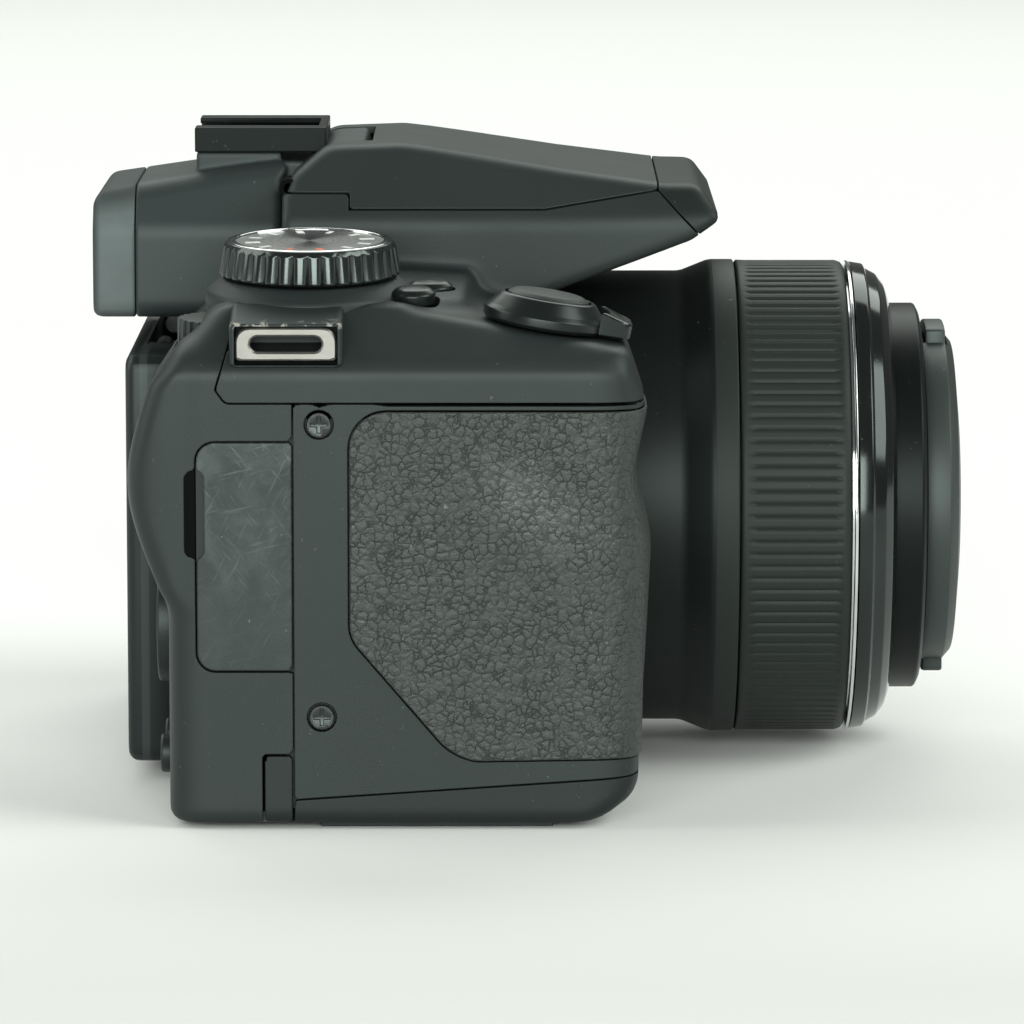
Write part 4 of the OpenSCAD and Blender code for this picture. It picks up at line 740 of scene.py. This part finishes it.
panel("front_cover", "cover", sy - SEAMY, (top_r, base_r, lens_r, screw_r - 0.12, evf_r, rubber_r))
panel("rear_cover", "cover", SEAMY - sy, (top_r, door_r, flap_r, evf_r, wheel_r, rear_r, pull_r))
panel("base_cover", "base", base_r, (bat_r, bush_r, low_r, lens_r))
panel("top_cover", "cover", top_r, (lid_r, nose_r, evf_r, barrel_r, wheel_r, lug_r, dial_r, shut_r, btn_r, pop_r))
panel("flash_lid", "cover", lid_r, (slot_r,), t=1.0)
panel("nose_panel", "nose", nose_r, (lid_r,), t=1.4)
panel("terminal_door", "door", door_r, (pull_r,), bevel=0.3, t=1.4)
panel("power_flap", "base", flap_r, (), bevel=0.2, gap=0.4, t=1.0)
panel("grip_rubber", "rubber", rubber_r, (), bevel=0.3, gap=0.14, t=0.34, lift=0.37)


# Viewfinder, eyecup and lug bosses as solids of their own
def evf_outer(x, y, z):
    s = sd_poly(EVF_S, y[0], z[0])[None]
    f = sd_poly(EVF_F, x[:, 0], z[:, 0])[:, None, :]
    roof = (z - ROOF_Z + ROOF_SLOPE * (y - ROOF_Y)) * 0.988
    return rmax(2.2, rmax(1.3, s, f), roof), rmax(2.2, f, roof)


def evf_field(x, y, z):
    out, _ = evf_outer(x, y, z)
    win = most(np.abs(x) - 12, EY - 4 - y, EL + 4 - z, z - CZ + 4.2)
    dio = np.maximum(np.hypot(y - 32.6, z - 70) - 4.3, 13 - x)
    seat = rmax(0.3, np.abs(x) - 9.95, 19.3 - y, y - 31.2, EZ - 4.4 - z, z - EZ)
    tongue = rmax(0.3, np.abs(x) - 10.8, 7.65 - 0.41 * (87 - z) - y, y - 19.6, EZ - 2.2 - z,
                  hump_field(x, y, z) + 0.1)
    web = rmax(0.3, np.abs(x) - 10.6, 13.5 - y, y - 20.5, 76 - z, z - EZ + 1.2)
    out = most(out, y - EY, -win, -dio, -(out + 1.8))
    return np.minimum(np.minimum(smin(out, seat, 0.5), tongue), web)


def cup_field(x, y, z):
    out, f = evf_outer(x, y, z)
    win = most(np.abs(x) - 11.8, EL + 4.2 - z, z - CZ + 4.4, EY - 2 - y)
    dish = np.maximum(f + 2.8, EY + 2.4 - y)
    return np.maximum(rmax(0.6, out, -win, -dish), EY + 0.1 - y)


def boss_field(e):
    poly = rounded([[e - 10, CREASE + 2], [e - 1.2, CREASE + 0.6], [e - 0.3, CREASE + 1], [e - 0.3, 67.7, 0.9],
                    [e - 9, 69.6]])
    rec = np.array([[e + 2, CREASE + 1], [e + 2, 67.42], [e - 4.6, 67.42], [e - 4.6, CREASE + 3.6],
                    [e - 2.6, CREASE + 1]])

    def fn(x, y, z):
        s = -1 if e == GX else 1
        a = sd_poly(poly, s * x[:, 0], z[:, 0])[:, None, :]
        b = sd_poly(rec, s * x[:, 0], z[:, 0])[:, None, :]
        return rmax(0.25, rmax(0.8, a, np.abs(y - LUG_Y) - 7.5), -np.maximum(b, np.abs(y - LUG_Y) - LUG_HALF))
    return fn


hs = 0.35
V, N, F = solid_of(evf_field, (-20.0, 5.5, 60.0), (20.5, 41.5, 87.5), hs)
add("skin_viewfinder", V, F, "housing", BODY_OF["viewfinder_housing"], ("viewfinder_housing",), N)
V, N, F = solid_of(cup_field, (-20.0, 38.0, 60.0), (20.5, 47.0, 87.5), hs)
add("skin_eyecup", V, F, "cup", BODY_OF["eyecup"], ("eyecup",), N)
for tag, e, x0, x1 in (("right", GX, -69.0, -55.5), ("left", LX, 44.5, 57.5)):
    V, N, F = solid_of(boss_field(e), (x0, 8.0, 60.0), (x1, 25.6, 71.0), 0.16)
    add("lug_boss_" + tag, V, F, "boss", BODY_OF["top_cover"], (), N)


# Turned lens pieces: points are [radius, distance forward, rounding]
def turned(name, pts, mat, nodes=None, body=None):
    segs = 192
    prof = rounded(pts, 8)
    keep = [0]
    for i in range(1, len(prof)):
        if np.linalg.norm(prof[i] - prof[keep[-1]]) > 1e-4:
            keep.append(i)
    prof = prof[keep]
    m = len(prof)
    a = np.arange(segs) * 2 * math.pi / segs
    V = np.stack([np.cos(a)[:, None] * prof[None, :, 0], np.tile(-prof[None, :, 1], (segs, 1)),
                  LZ + np.sin(a)[:, None] * prof[None, :, 0]], -1).reshape(-1, 3)
    F = []
    for i in range(segs):
        k = (i + 1) % segs
        for j in range(m):
            n = (j + 1) % m
            F.append([i * m + j, k * m + j, k * m + n, i * m + n])
    ar = sum(prof[j][0] * prof[(j + 1) % m][1] - prof[(j + 1) % m][0] * prof[j][1] for j in range(m))
    if ar < 0:
        F = [f[::-1] for f in F]
    nodes = (name,) if nodes is None else nodes
    return add("turned_" + name, V, F, mat, body or BODY_OF[nodes[0]], nodes, None, 32)


FL = BY + 3  # front of the barrel's flange
turned("lens_base", [[27.75, -8], [29, -8], [29, 14.2], [BR, 14.2], [BR, BY - 4.6, 4], [RR, BY - 0.6, 3],
                     [RR, FL, 0.35], [RR - 2.7, FL], [RR - 2.7, RGY - 0.3], [27.75, RGY - 0.3]], "barrel")
turned("lens_collar", [[RR - 1, BY - 0.55], [RR + 0.02, BY - 0.4, 0.3], [RR + 0.02, FL - 0.03, 0.25],
                       [RR - 1, FL - 0.03]], "soft", nodes=(), body=BODY_OF["lens_base"])
turned("lens_trim_ring", [[RR - 2.5, RGY - 0.2], [RR - 2.5, RGY + 0.05], [RR - 0.12, RGY + 0.05, 0.12],
                          [RR - 0.2, RGY + 0.5, 0.12], [28.1, RGY + 0.62], [28.1, RGY - 0.2]], "chrome")
BZ = RGY + 0.68  # rear of the bezel
turned("lens_bezel", [[27.8, BZ], [RR - 0.3, BZ, 0.1], [RR - 0.6, BZ + 1.9, 0.4], [RR - 1.2, BZ + 2.2, 0.1],
                      [RR - 2.0, BZY - 1.7, 1.0], [30.2, BZY - 0.6, 1.5], [28.4, BZY, 0.3], [27.8, BZY]], "gloss")
turned("zoom_barrel", [[24.9, 20], [ZR, 20], [ZR, ZY - 0.5, 0.5], [26.4, ZY, 0.3], [24.9, ZY, 0.2]], "tube")


def grip_ring():
    """The ribbed rubber of the focus ring: rounded ribs that die out at both ends."""
    ribs = 120
    per = 8
    segs = ribs * per
    b, f = BY + 3.2, RGY - 0.25
    ys = [b, b, b + 0.25, b + 0.7, b + 1.0, b + 1.3, b + 1.7, b + 2.2,
          f - 2.4, f - 1.9, f - 1.5, f - 1.2, f - 0.8, f - 0.3, f, f]
    rs = [RR - 2.3, RR - 0.35, RR - 0.08, RR - 0.08, RR - 0.1, RR - 0.12, RR - 0.12, RR - 0.12,
          RR - 0.12, RR - 0.12, RR - 0.12, RR - 0.1, RR - 0.2, RR - 0.4, RR - 0.8, RR - 2.3]
    dep = [0, 0, 0, 0, 0.01, 0.12, 0.21, 0.22, 0.22, 0.21, 0.12, 0.01, 0, 0, 0, 0]
    a = np.arange(segs) * 2 * math.pi / segs
    ph = np.abs(((np.arange(segs) % per) / per) * 2 - 1)
    groove = np.clip((ph - 0.62) / 0.3, 0, 1)
    groove = groove * groove * (3 - 2 * groove)
    V = []
    for y, r, d in zip(ys, rs, dep):
        rr = r - d * groove
        V.append(np.stack([np.cos(a) * rr, np.full(segs, -y), LZ + np.sin(a) * rr], -1))
    V = np.concatenate(V)
    F = []
    for j in range(len(ys)):
        n = (j + 1) % len(ys)
        for i in range(segs):
            k = (i + 1) % segs
            F.append([j * segs + i, n * segs + i, n * segs + k, j * segs + k])
    return add("focus_grip_ribs", V, F, "soft", BODY_OF["focus_ring"], ("focus_ring", "focus_grip"), None, 55)


grip_ring()


# Dials and buttons on tilted decks
def tilt(V, origin, rx=0.0, ry=0.0):
    c, s = math.cos(rx), math.sin(rx)
    V = np.stack([V[:, 0], V[:, 1] * c - V[:, 2] * s, V[:, 1] * s + V[:, 2] * c], -1)
    c, s = math.cos(ry), math.sin(ry)
    V = np.stack([V[:, 0] * c + V[:, 2] * s, V[:, 1], -V[:, 0] * s + V[:, 2] * c], -1)
    return V + np.array(origin)


SLOPE = 3.2 / 33.0  # fall of the top towards the grip
TILT = -math.atan(SLOPE)
DECK = math.atan(1 / 6)  # fall of the shutter's deck


def lathe(pts, segs, arc=6, wave=None, span=(-9.0, 9.0)):
    """A form turned about its axis from points [radius, height, rounding], with ribs by wave within span."""
    prof = rounded(pts, arc)
    m = len(prof)
    a = np.arange(segs) * 2 * math.pi / segs
    R = np.tile(prof[None, :, 0], (segs, 1))
    if wave is not None:
        w = np.clip((prof[:, 1] - span[0]) / 0.5, 0, 1) * np.clip((span[1] - prof[:, 1]) / 0.7, 0, 1)
        R = R - wave(a)[:, None] * (w * (prof[:, 0] > pts[0][0]))[None]
    V = np.stack([np.cos(a)[:, None] * R, np.sin(a)[:, None] * R, np.tile(prof[None, :, 1], (segs, 1))], -1)
    V = V.reshape(-1, 3)
    F = [[i * m + j, ((i + 1) % segs) * m + j, ((i + 1) % segs) * m + j + 1, i * m + j + 1]
         for i in range(segs) for j in range(m - 1)]
    F.append([i * m for i in range(segs)][::-1])
    F.append([i * m + m - 1 for i in range(segs)])
    return V, F


dial_o = (*DIAL, 70.7 + 12 * SLOPE)
DTILT = TILT / 2
DIAL_RIBS = 36


def dial_wave(a):
    p = (a * DIAL_RIBS / (2 * math.pi)) % 1.0
    return 0.62 * np.abs(p * 2 - 1) ** 2.6


V, F = lathe([[2.4, -2.5], [2.4, 0.2], [11.4, 0.2, 0.2], [12.25, 0.6, 0.35], [11.6, 4.3, 0.6], [11.1, 4.95, 0.3],
              [10.4, 4.95], [10.35, 4.3]], DIAL_RIBS * 14, 5, dial_wave, (0.1, 4.5))
add("dial_ribs", tilt(V, dial_o, 0, DTILT), F, "grip", BODY_OF["mode_dial"], ("mode_dial",), None, 60)
V, F = lathe([[10.75, 4.3], [10.75, 4.97, 0.15], [10.0, 5.1, 0.15], [9.9, 4.75]], 192, 4)
add("dial_rim", tilt(V, dial_o, 0, DTILT), F, "chrome", BODY_OF["mode_dial"], (), None, 40)
V, F = lathe([[9.95, 4.2], [9.95, 4.82, 0.05], [0.05, 4.86]], 192, 3)
add("dial_disc", tilt(V, dial_o, 0, DTILT), F, "disc", BODY_OF["mode_dial_disc"], ("mode_dial_disc",), None, 40)
for i in range(12):
    a = i * math.pi / 6 + 0.2
    w, l = (0.34, 0.85) if i % 3 else (0.5, 1.0)
    q = np.array([[-l, -w], [l, -w], [l, w], [-l, w]])
    q = np.column_stack([q[:, 0] + 7.8, q[:, 1]])
    q = np.column_stack([q[:, 0] * math.cos(a) - q[:, 1] * math.sin(a), q[:, 0] * math.sin(a) + q[:, 1] * math.cos(a)])
    V = np.concatenate([np.column_stack([q, np.full(4, h)]) for h in (4.8, 4.87)])
    F = [[3, 2, 1, 0], [4, 5, 6, 7]] + [[k, (k + 1) % 4, 4 + (k + 1) % 4, 4 + k] for k in range(4)]
    add("dial_mark_%02d" % i, tilt(V, dial_o, 0, DTILT), F, "accent" if i in (5, 6) else "mark",
        BODY_OF["mode_dial_disc"], (), None, 30)
V, F = lathe([[14.2, -3.2], [14.0, -1.7, 1.2], [11.7, 0.02, 0.8], [0.05, 0.02]], 160, 6)
add("dial_seat", tilt(V, dial_o, 0, DTILT), F, "cover", BODY_OF["top_cover"], (), None, 40)

deck_o = (*RELEASE, 64 + 11 / 6)
V, F = lathe([[3.9, -2.5], [3.9, 0.35], [7.9, 0.35, 0.2], [8.3, 0.8, 0.3], [8.3, 1.9, 0.35], [7.7, 2.5, 0.4],
              [6.4, 4.1, 0.8], [5.85, 4.25, 0.15], [5.8, 0.9]], 160, 6)
add("zoom_ring_turned", tilt(V, deck_o, DECK, 0), F, "satin", BODY_OF["zoom_ring"], ("zoom_ring",), None, 35)
V, F = lathe([[2.4, -1.3], [2.4, 2.2], [5.5, 2.3], [5.5, 4.2, 0.3], [4.6, 4.75, 1.5], [0.05, 5.1]], 128, 6)
add("shutter_dome", tilt(V, deck_o, DECK, 0), F, "black", BODY_OF["shutter_button"], ("shutter_button",), None, 35)
for nm, o in (("power_button", (*POWER, 69.4 + 5.4 * SLOPE)), ("exposure_button", (*EXPOSURE, TOP - 2.5))):
    V, F = lathe([[2.9, -0.8], [3.0, 0.5, 0.45], [2.2, 1.15, 1.2], [0.05, 1.3]], 96, 6)
    add("dome_" + nm, tilt(V, o, 0, TILT), F, "satin", BODY_OF[nm], (nm,), None, 40)


# Strap lug plates: a rounded plate with a slot, bridged from loops of points
def loop(pts, c, n=96):
    """n points on an outline, at even angles about c."""
    p = rounded(pts, 12)
    out = []
    for k in range(n):
        d = np.array([math.cos(2 * math.pi * k / n), math.sin(2 * math.pi * k / n)])
        best = 0.0
        for i in range(len(p)):
            u, v = p[i - 1] - c, p[i] - p[i - 1]
            q = d[0] * v[1] - d[1] * v[0]
            if abs(q) > 1e-12:
                t = (u[0] * v[1] - u[1] * v[0]) / q
                w = (u[0] * d[1] - u[1] * d[0]) / q
                if t > 0 and -1e-6 <= w <= 1 + 1e-6:
                    best = max(best, t)
        out.append(c + d * best)
    return np.array(out)


def lug_plates():
    V, F = [], []
    z0, z1, n = CREASE + 1.6, CREASE + 6.0, 96
    c = np.array([LUG_Y, z0 + 2.2])
    box = [[10.1, z0, 0.6], [23.5, z0, 0.6], [23.5, z1, 1.9], [10.1, z1, 1.9]]
    thin = [[10.35, z0 + 0.25, 0.4], [23.25, z0 + 0.25, 0.4], [23.25, z1 - 0.25, 1.7], [10.35, z1 - 0.25, 1.7]]
    slot = [[12.05, z0 + 1.15, 1.04], [21.55, z0 + 1.15, 1.04], [21.55, z0 + 3.25, 1.04], [12.05, z0 + 3.25, 1.04]]
    wide = [[11.8, z0 + 0.9, 1.28], [21.8, z0 + 0.9, 1.28], [21.8, z0 + 3.5, 1.28], [11.8, z0 + 3.5, 1.28]]
    for e, k in ((GX, -1), (LX, 1)):
        rings = [(loop(slot, c), e - 2.2), (loop(slot, c), e - 0.85), (loop(wide, c), e - 0.6),
                 (loop(thin, c), e - 0.6), (loop(box, c), e - 0.85), (loop(box, c), e - 2.2)]
        o = len(V)
        for r, x in rings:
            V += [(k * x, y, z) for y, z in r]
        m = len(rings)
        for j in range(m):
            for i in range(n):
                q = [o + j * n + i, o + j * n + (i + 1) % n, o + (j + 1) % m * n + (i + 1) % n, o + (j + 1) % m * n + i]
                F.append(q if k > 0 else q[::-1])
    return add("lug_plates", V, F, "lug", BODY_OF["strap_lugs"], ("strap_lugs",), None, 30)


lug_plates()


# Hinge barrels of the flash lid and the two floors of the finger pull
def barrel_x(name, x0, x1, y, z, r, mat, body):
    segs = 40
    a = np.arange(segs) * 2 * math.pi / segs
    ring = np.stack([np.cos(a) * r + y, np.sin(a) * r + z], -1)
    V = np.concatenate([np.column_stack([np.full(segs, x), ring]) for x in (x0, x1)])
    F = [[i, (i + 1) % segs, segs + (i + 1) % segs, segs + i] for i in range(segs)]
    F += [list(range(segs))[::-1], list(range(segs, 2 * segs))]
    return add(name, V, F, mat, body, (), None, 40)


for tag, k in (("right", -1), ("left", 1)):
    for part, x0, x1, node in (("knuckle", -0.8, 0.8, "top_cover"), ("ear_in", -2.5, -1.1, "flash_lid"),
                               ("ear_out", 1.1, 2.5, "flash_lid")):
        xs = sorted((k * (PX + x0), k * (PX + x1)))
        barrel_x("hinge_%s_%s" % (part, tag), xs[0], xs[1], PY, PZ, 1.3, "hole", BODY_OF[node])


def slab(name, x0, x1, y0, y1, z0, z1, mat, body):
    V = [(x, y, z) for x in (x0, x1) for y in (y0, y1) for z in (z0, z1)]
    F = [[0, 1, 3, 2], [4, 6, 7, 5], [0, 4, 5, 1], [2, 3, 7, 6], [0, 2, 6, 4], [1, 5, 7, 3]]
    return add(name, V, F, mat, body, (), None, 30)


slab("pull_floor_door", -66.0, -65.6, 27.2, 28.8, 36.0, 48.8, "base", BODY_OF["terminal_door"])
# the rear floor is near black: painted shade deep in the pull
slab("pull_floor_rear", -66.0, -65.6, 28.95, 31.0, 36.0, 48.8, "hole", BODY_OF["rear_cover"])


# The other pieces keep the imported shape, with their edges softened
CUTS = {"zoom_tab": [((-53.5, -25.0, 68.4), (0.0, -0.43, 0.90))]}  # a plane that slopes a piece off
ROUND = {"screen_housing": 1.5}  # a larger radius round the rear face


def bevel(bm, edges, width, segs):
    bmesh.ops.bevel(bm, geom=edges, offset=width * 0.001, segments=segs, profile=0.5, affect="EDGES",
                    clamp_overlap=True)


def rear_rim(bm):
    """The outer edges of a piece's rear face."""
    back = max(v.co.y for v in bm.verts)
    mid = sum((v.co for v in bm.verts), Vector()) / len(bm.verts)
    rim = []
    for e in bm.edges:
        wall = [f.normal for f in e.link_faces if abs(f.normal.y) < 0.5]
        if wall and min(v.co.y for v in e.verts) > back - 1e-5:
            out = (e.verts[0].co + e.verts[1].co) / 2 - mid
            if wall[0].x * out.x + wall[0].z * out.z > 0:
                rim.append(e)
    return rim


def soften(node, mat, width):
    """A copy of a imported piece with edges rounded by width."""
    bm = bmesh.new()
    bm.from_mesh(NODES[node].data)
    bmesh.ops.remove_doubles(bm, verts=bm.verts, dist=2e-6)
    for at, out in CUTS.get(node, ()):
        geo = bm.verts[:] + bm.edges[:] + bm.faces[:]
        cut = bmesh.ops.bisect_plane(bm, geom=geo, plane_co=[v * 0.001 for v in at], plane_no=out, clear_outer=True)
        bmesh.ops.holes_fill(bm, edges=[e for e in cut["geom_cut"] if isinstance(e, bmesh.types.BMEdge)])
    bmesh.ops.dissolve_limit(bm, angle_limit=math.radians(0.6), verts=bm.verts, edges=bm.edges)
    if node in ROUND:
        bevel(bm, rear_rim(bm), ROUND[node], 5)
    bevel(bm, [e for e in bm.edges if len(e.link_faces) == 2 and e.calc_face_angle(0) > math.radians(28)], width, 2)
    me = bpy.data.meshes.new("soft_" + node)
    bm.to_mesh(me)
    bm.free()
    me.polygons.foreach_set("use_smooth", [True] * len(me.polygons))
    me.set_sharp_from_angle(angle=math.radians(26))
    ob = bpy.data.objects.new("soft_" + node, me)
    bpy.context.scene.collection.objects.link(ob)
    me.materials.append(MATS[mat])
    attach(ob, BODY_OF[node])
    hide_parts(node)
    return ob


for node, mat, width in (
        ("hot_shoe", "rail", 0.2), ("front_barrel", "tube", 0.2), ("lens_cap", "cap", 0.3),
        ("cap_tab_upper", "cap", 0.3), ("cap_tab_lower", "cap", 0.3), ("zoom_tab", "gloss", 0.5),
        ("screen_housing", "frame", 0.3), ("screen_glass", "screen", 0.1), ("battery_door", "base", 0.15),
        ("selector_pad", "black", 0.3), ("ok_button", "black", 0.3), ("play_button", "black", 0.3),
        ("menu_button", "black", 0.3), ("display_button", "black", 0.3), ("dioptre_dial", "black", 0.3),
        ("flash_button", "black", 0.3), ("cover_screws", "screw", 0.08), ("command_dial", "black", 0.1),
        ("tripod_bush", "steel", 0.15)):
    soften(node, mat, width)

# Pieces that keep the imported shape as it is
REST = {"eyepiece_lens": "screen", "chassis": "sheet", "main_board": "board", "battery_chamber": "black",
        "battery": "cell", "memory_card": "card", "terminal_sockets": "black", "rear_lens": "lens",
        "image_sensor": "board", "zoom_lens": "lens", "front_lens": "lens", "flash_lamp": "bright",
        "flash_window": "flash", "flash_hinge_pins": "steel", "screen_bracket": "plate", "battery_latch": "black"}
for node, mat in REST.items():
    NODES[node].data.materials.clear()
    NODES[node].data.materials.append(MATS[mat])


# Floor, light and camera
def stage_plane(name, mat):
    me = bpy.data.meshes.new(name)
    s = 5.0
    me.from_pydata([(-s, -s, 0), (s, -s, 0), (s, s, 0), (-s, s, 0)], [], [(0, 1, 2, 3)])
    ob = bpy.data.objects.new(name, me)
    bpy.context.scene.collection.objects.link(ob)
    me.materials.append(mat)
    return ob


def floor_mat():
    m = Net("floor")
    x = m.xyz()[0]
    # painted light: the floor is darker near the camera, paler from the object backwards where its shadow falls, and a
    # little less pale far off
    near = m.ramp(x, -0.16, -0.01)
    far = m.ramp(x, 0.05, 0.5)
    c = m.mix(near, (0.65, 0.65, 0.645), (0.87, 0.87, 0.865))
    c = m.mix(far, c, (0.82, 0.82, 0.815))
    return m.out(Base_Color=c, Roughness=0.8, Specular_IOR_Level=0.2, Normal=m.bump(m.noise(900.0), 0.00003, 0.2))


stage_plane("floor", floor_mat())


TINT = (0.955, 1.0, 0.945)  # colour of the lamps and the sky


def area(name, loc, aim, size, size_y, power):
    li = bpy.data.lights.new(name, "AREA")
    li.shape = "RECTANGLE"
    li.size = size
    li.size_y = size_y
    li.energy = power
    li.color = TINT
    ob = bpy.data.objects.new(name, li)
    bpy.context.scene.collection.objects.link(ob)
    ob.location = loc
    ob.rotation_euler = (Vector(aim) - Vector(loc)).to_track_quat("-Z", "Y").to_euler()
    return ob


area("window", (-1.9, 0.1, 0.5), (0, 0, 0.03), 1.7, 0.95, 42.0)
area("side_left", (0.3, 2.0, 1.6), (0, 0.2, 0), 1.6, 1.6, 22.0)
area("side_right", (-0.6, -1.8, 1.4), (0, -0.1, 0), 1.6, 1.6, 38.0)
area("rim", (-0.1, 1.7, 0.45), (0, 0.05, 0.04), 0.9, 0.6, 5.0)
area("back", (1.5, 0.0, 1.5), (0.35, 0, 0.0), 2.6, 1.2, 27.0)
world = bpy.data.worlds.new("world")
bpy.context.scene.world = world
world.use_nodes = True
bg = world.node_tree.nodes["Background"]
bg.inputs[0].default_value = (*TINT, 1.0)
bg.inputs[1].default_value = 0.16

cam = bpy.data.cameras.new("camera")
cam.sensor_width = 36.0
cam.lens = 221.5
cam.clip_start = 0.05
cam.clip_end = 50.0
eye = bpy.data.objects.new("camera", cam)
bpy.context.scene.collection.objects.link(eye)
eye.location = (-0.8901, -0.013, 0.1659)
pitch = math.radians(8.5)
eye.rotation_euler = Vector((math.cos(pitch), 0, -math.sin(pitch))).to_track_quat("-Z", "Y").to_euler()
bpy.context.scene.camera = eye
bpy.context.scene.view_settings.view_transform = "Standard"
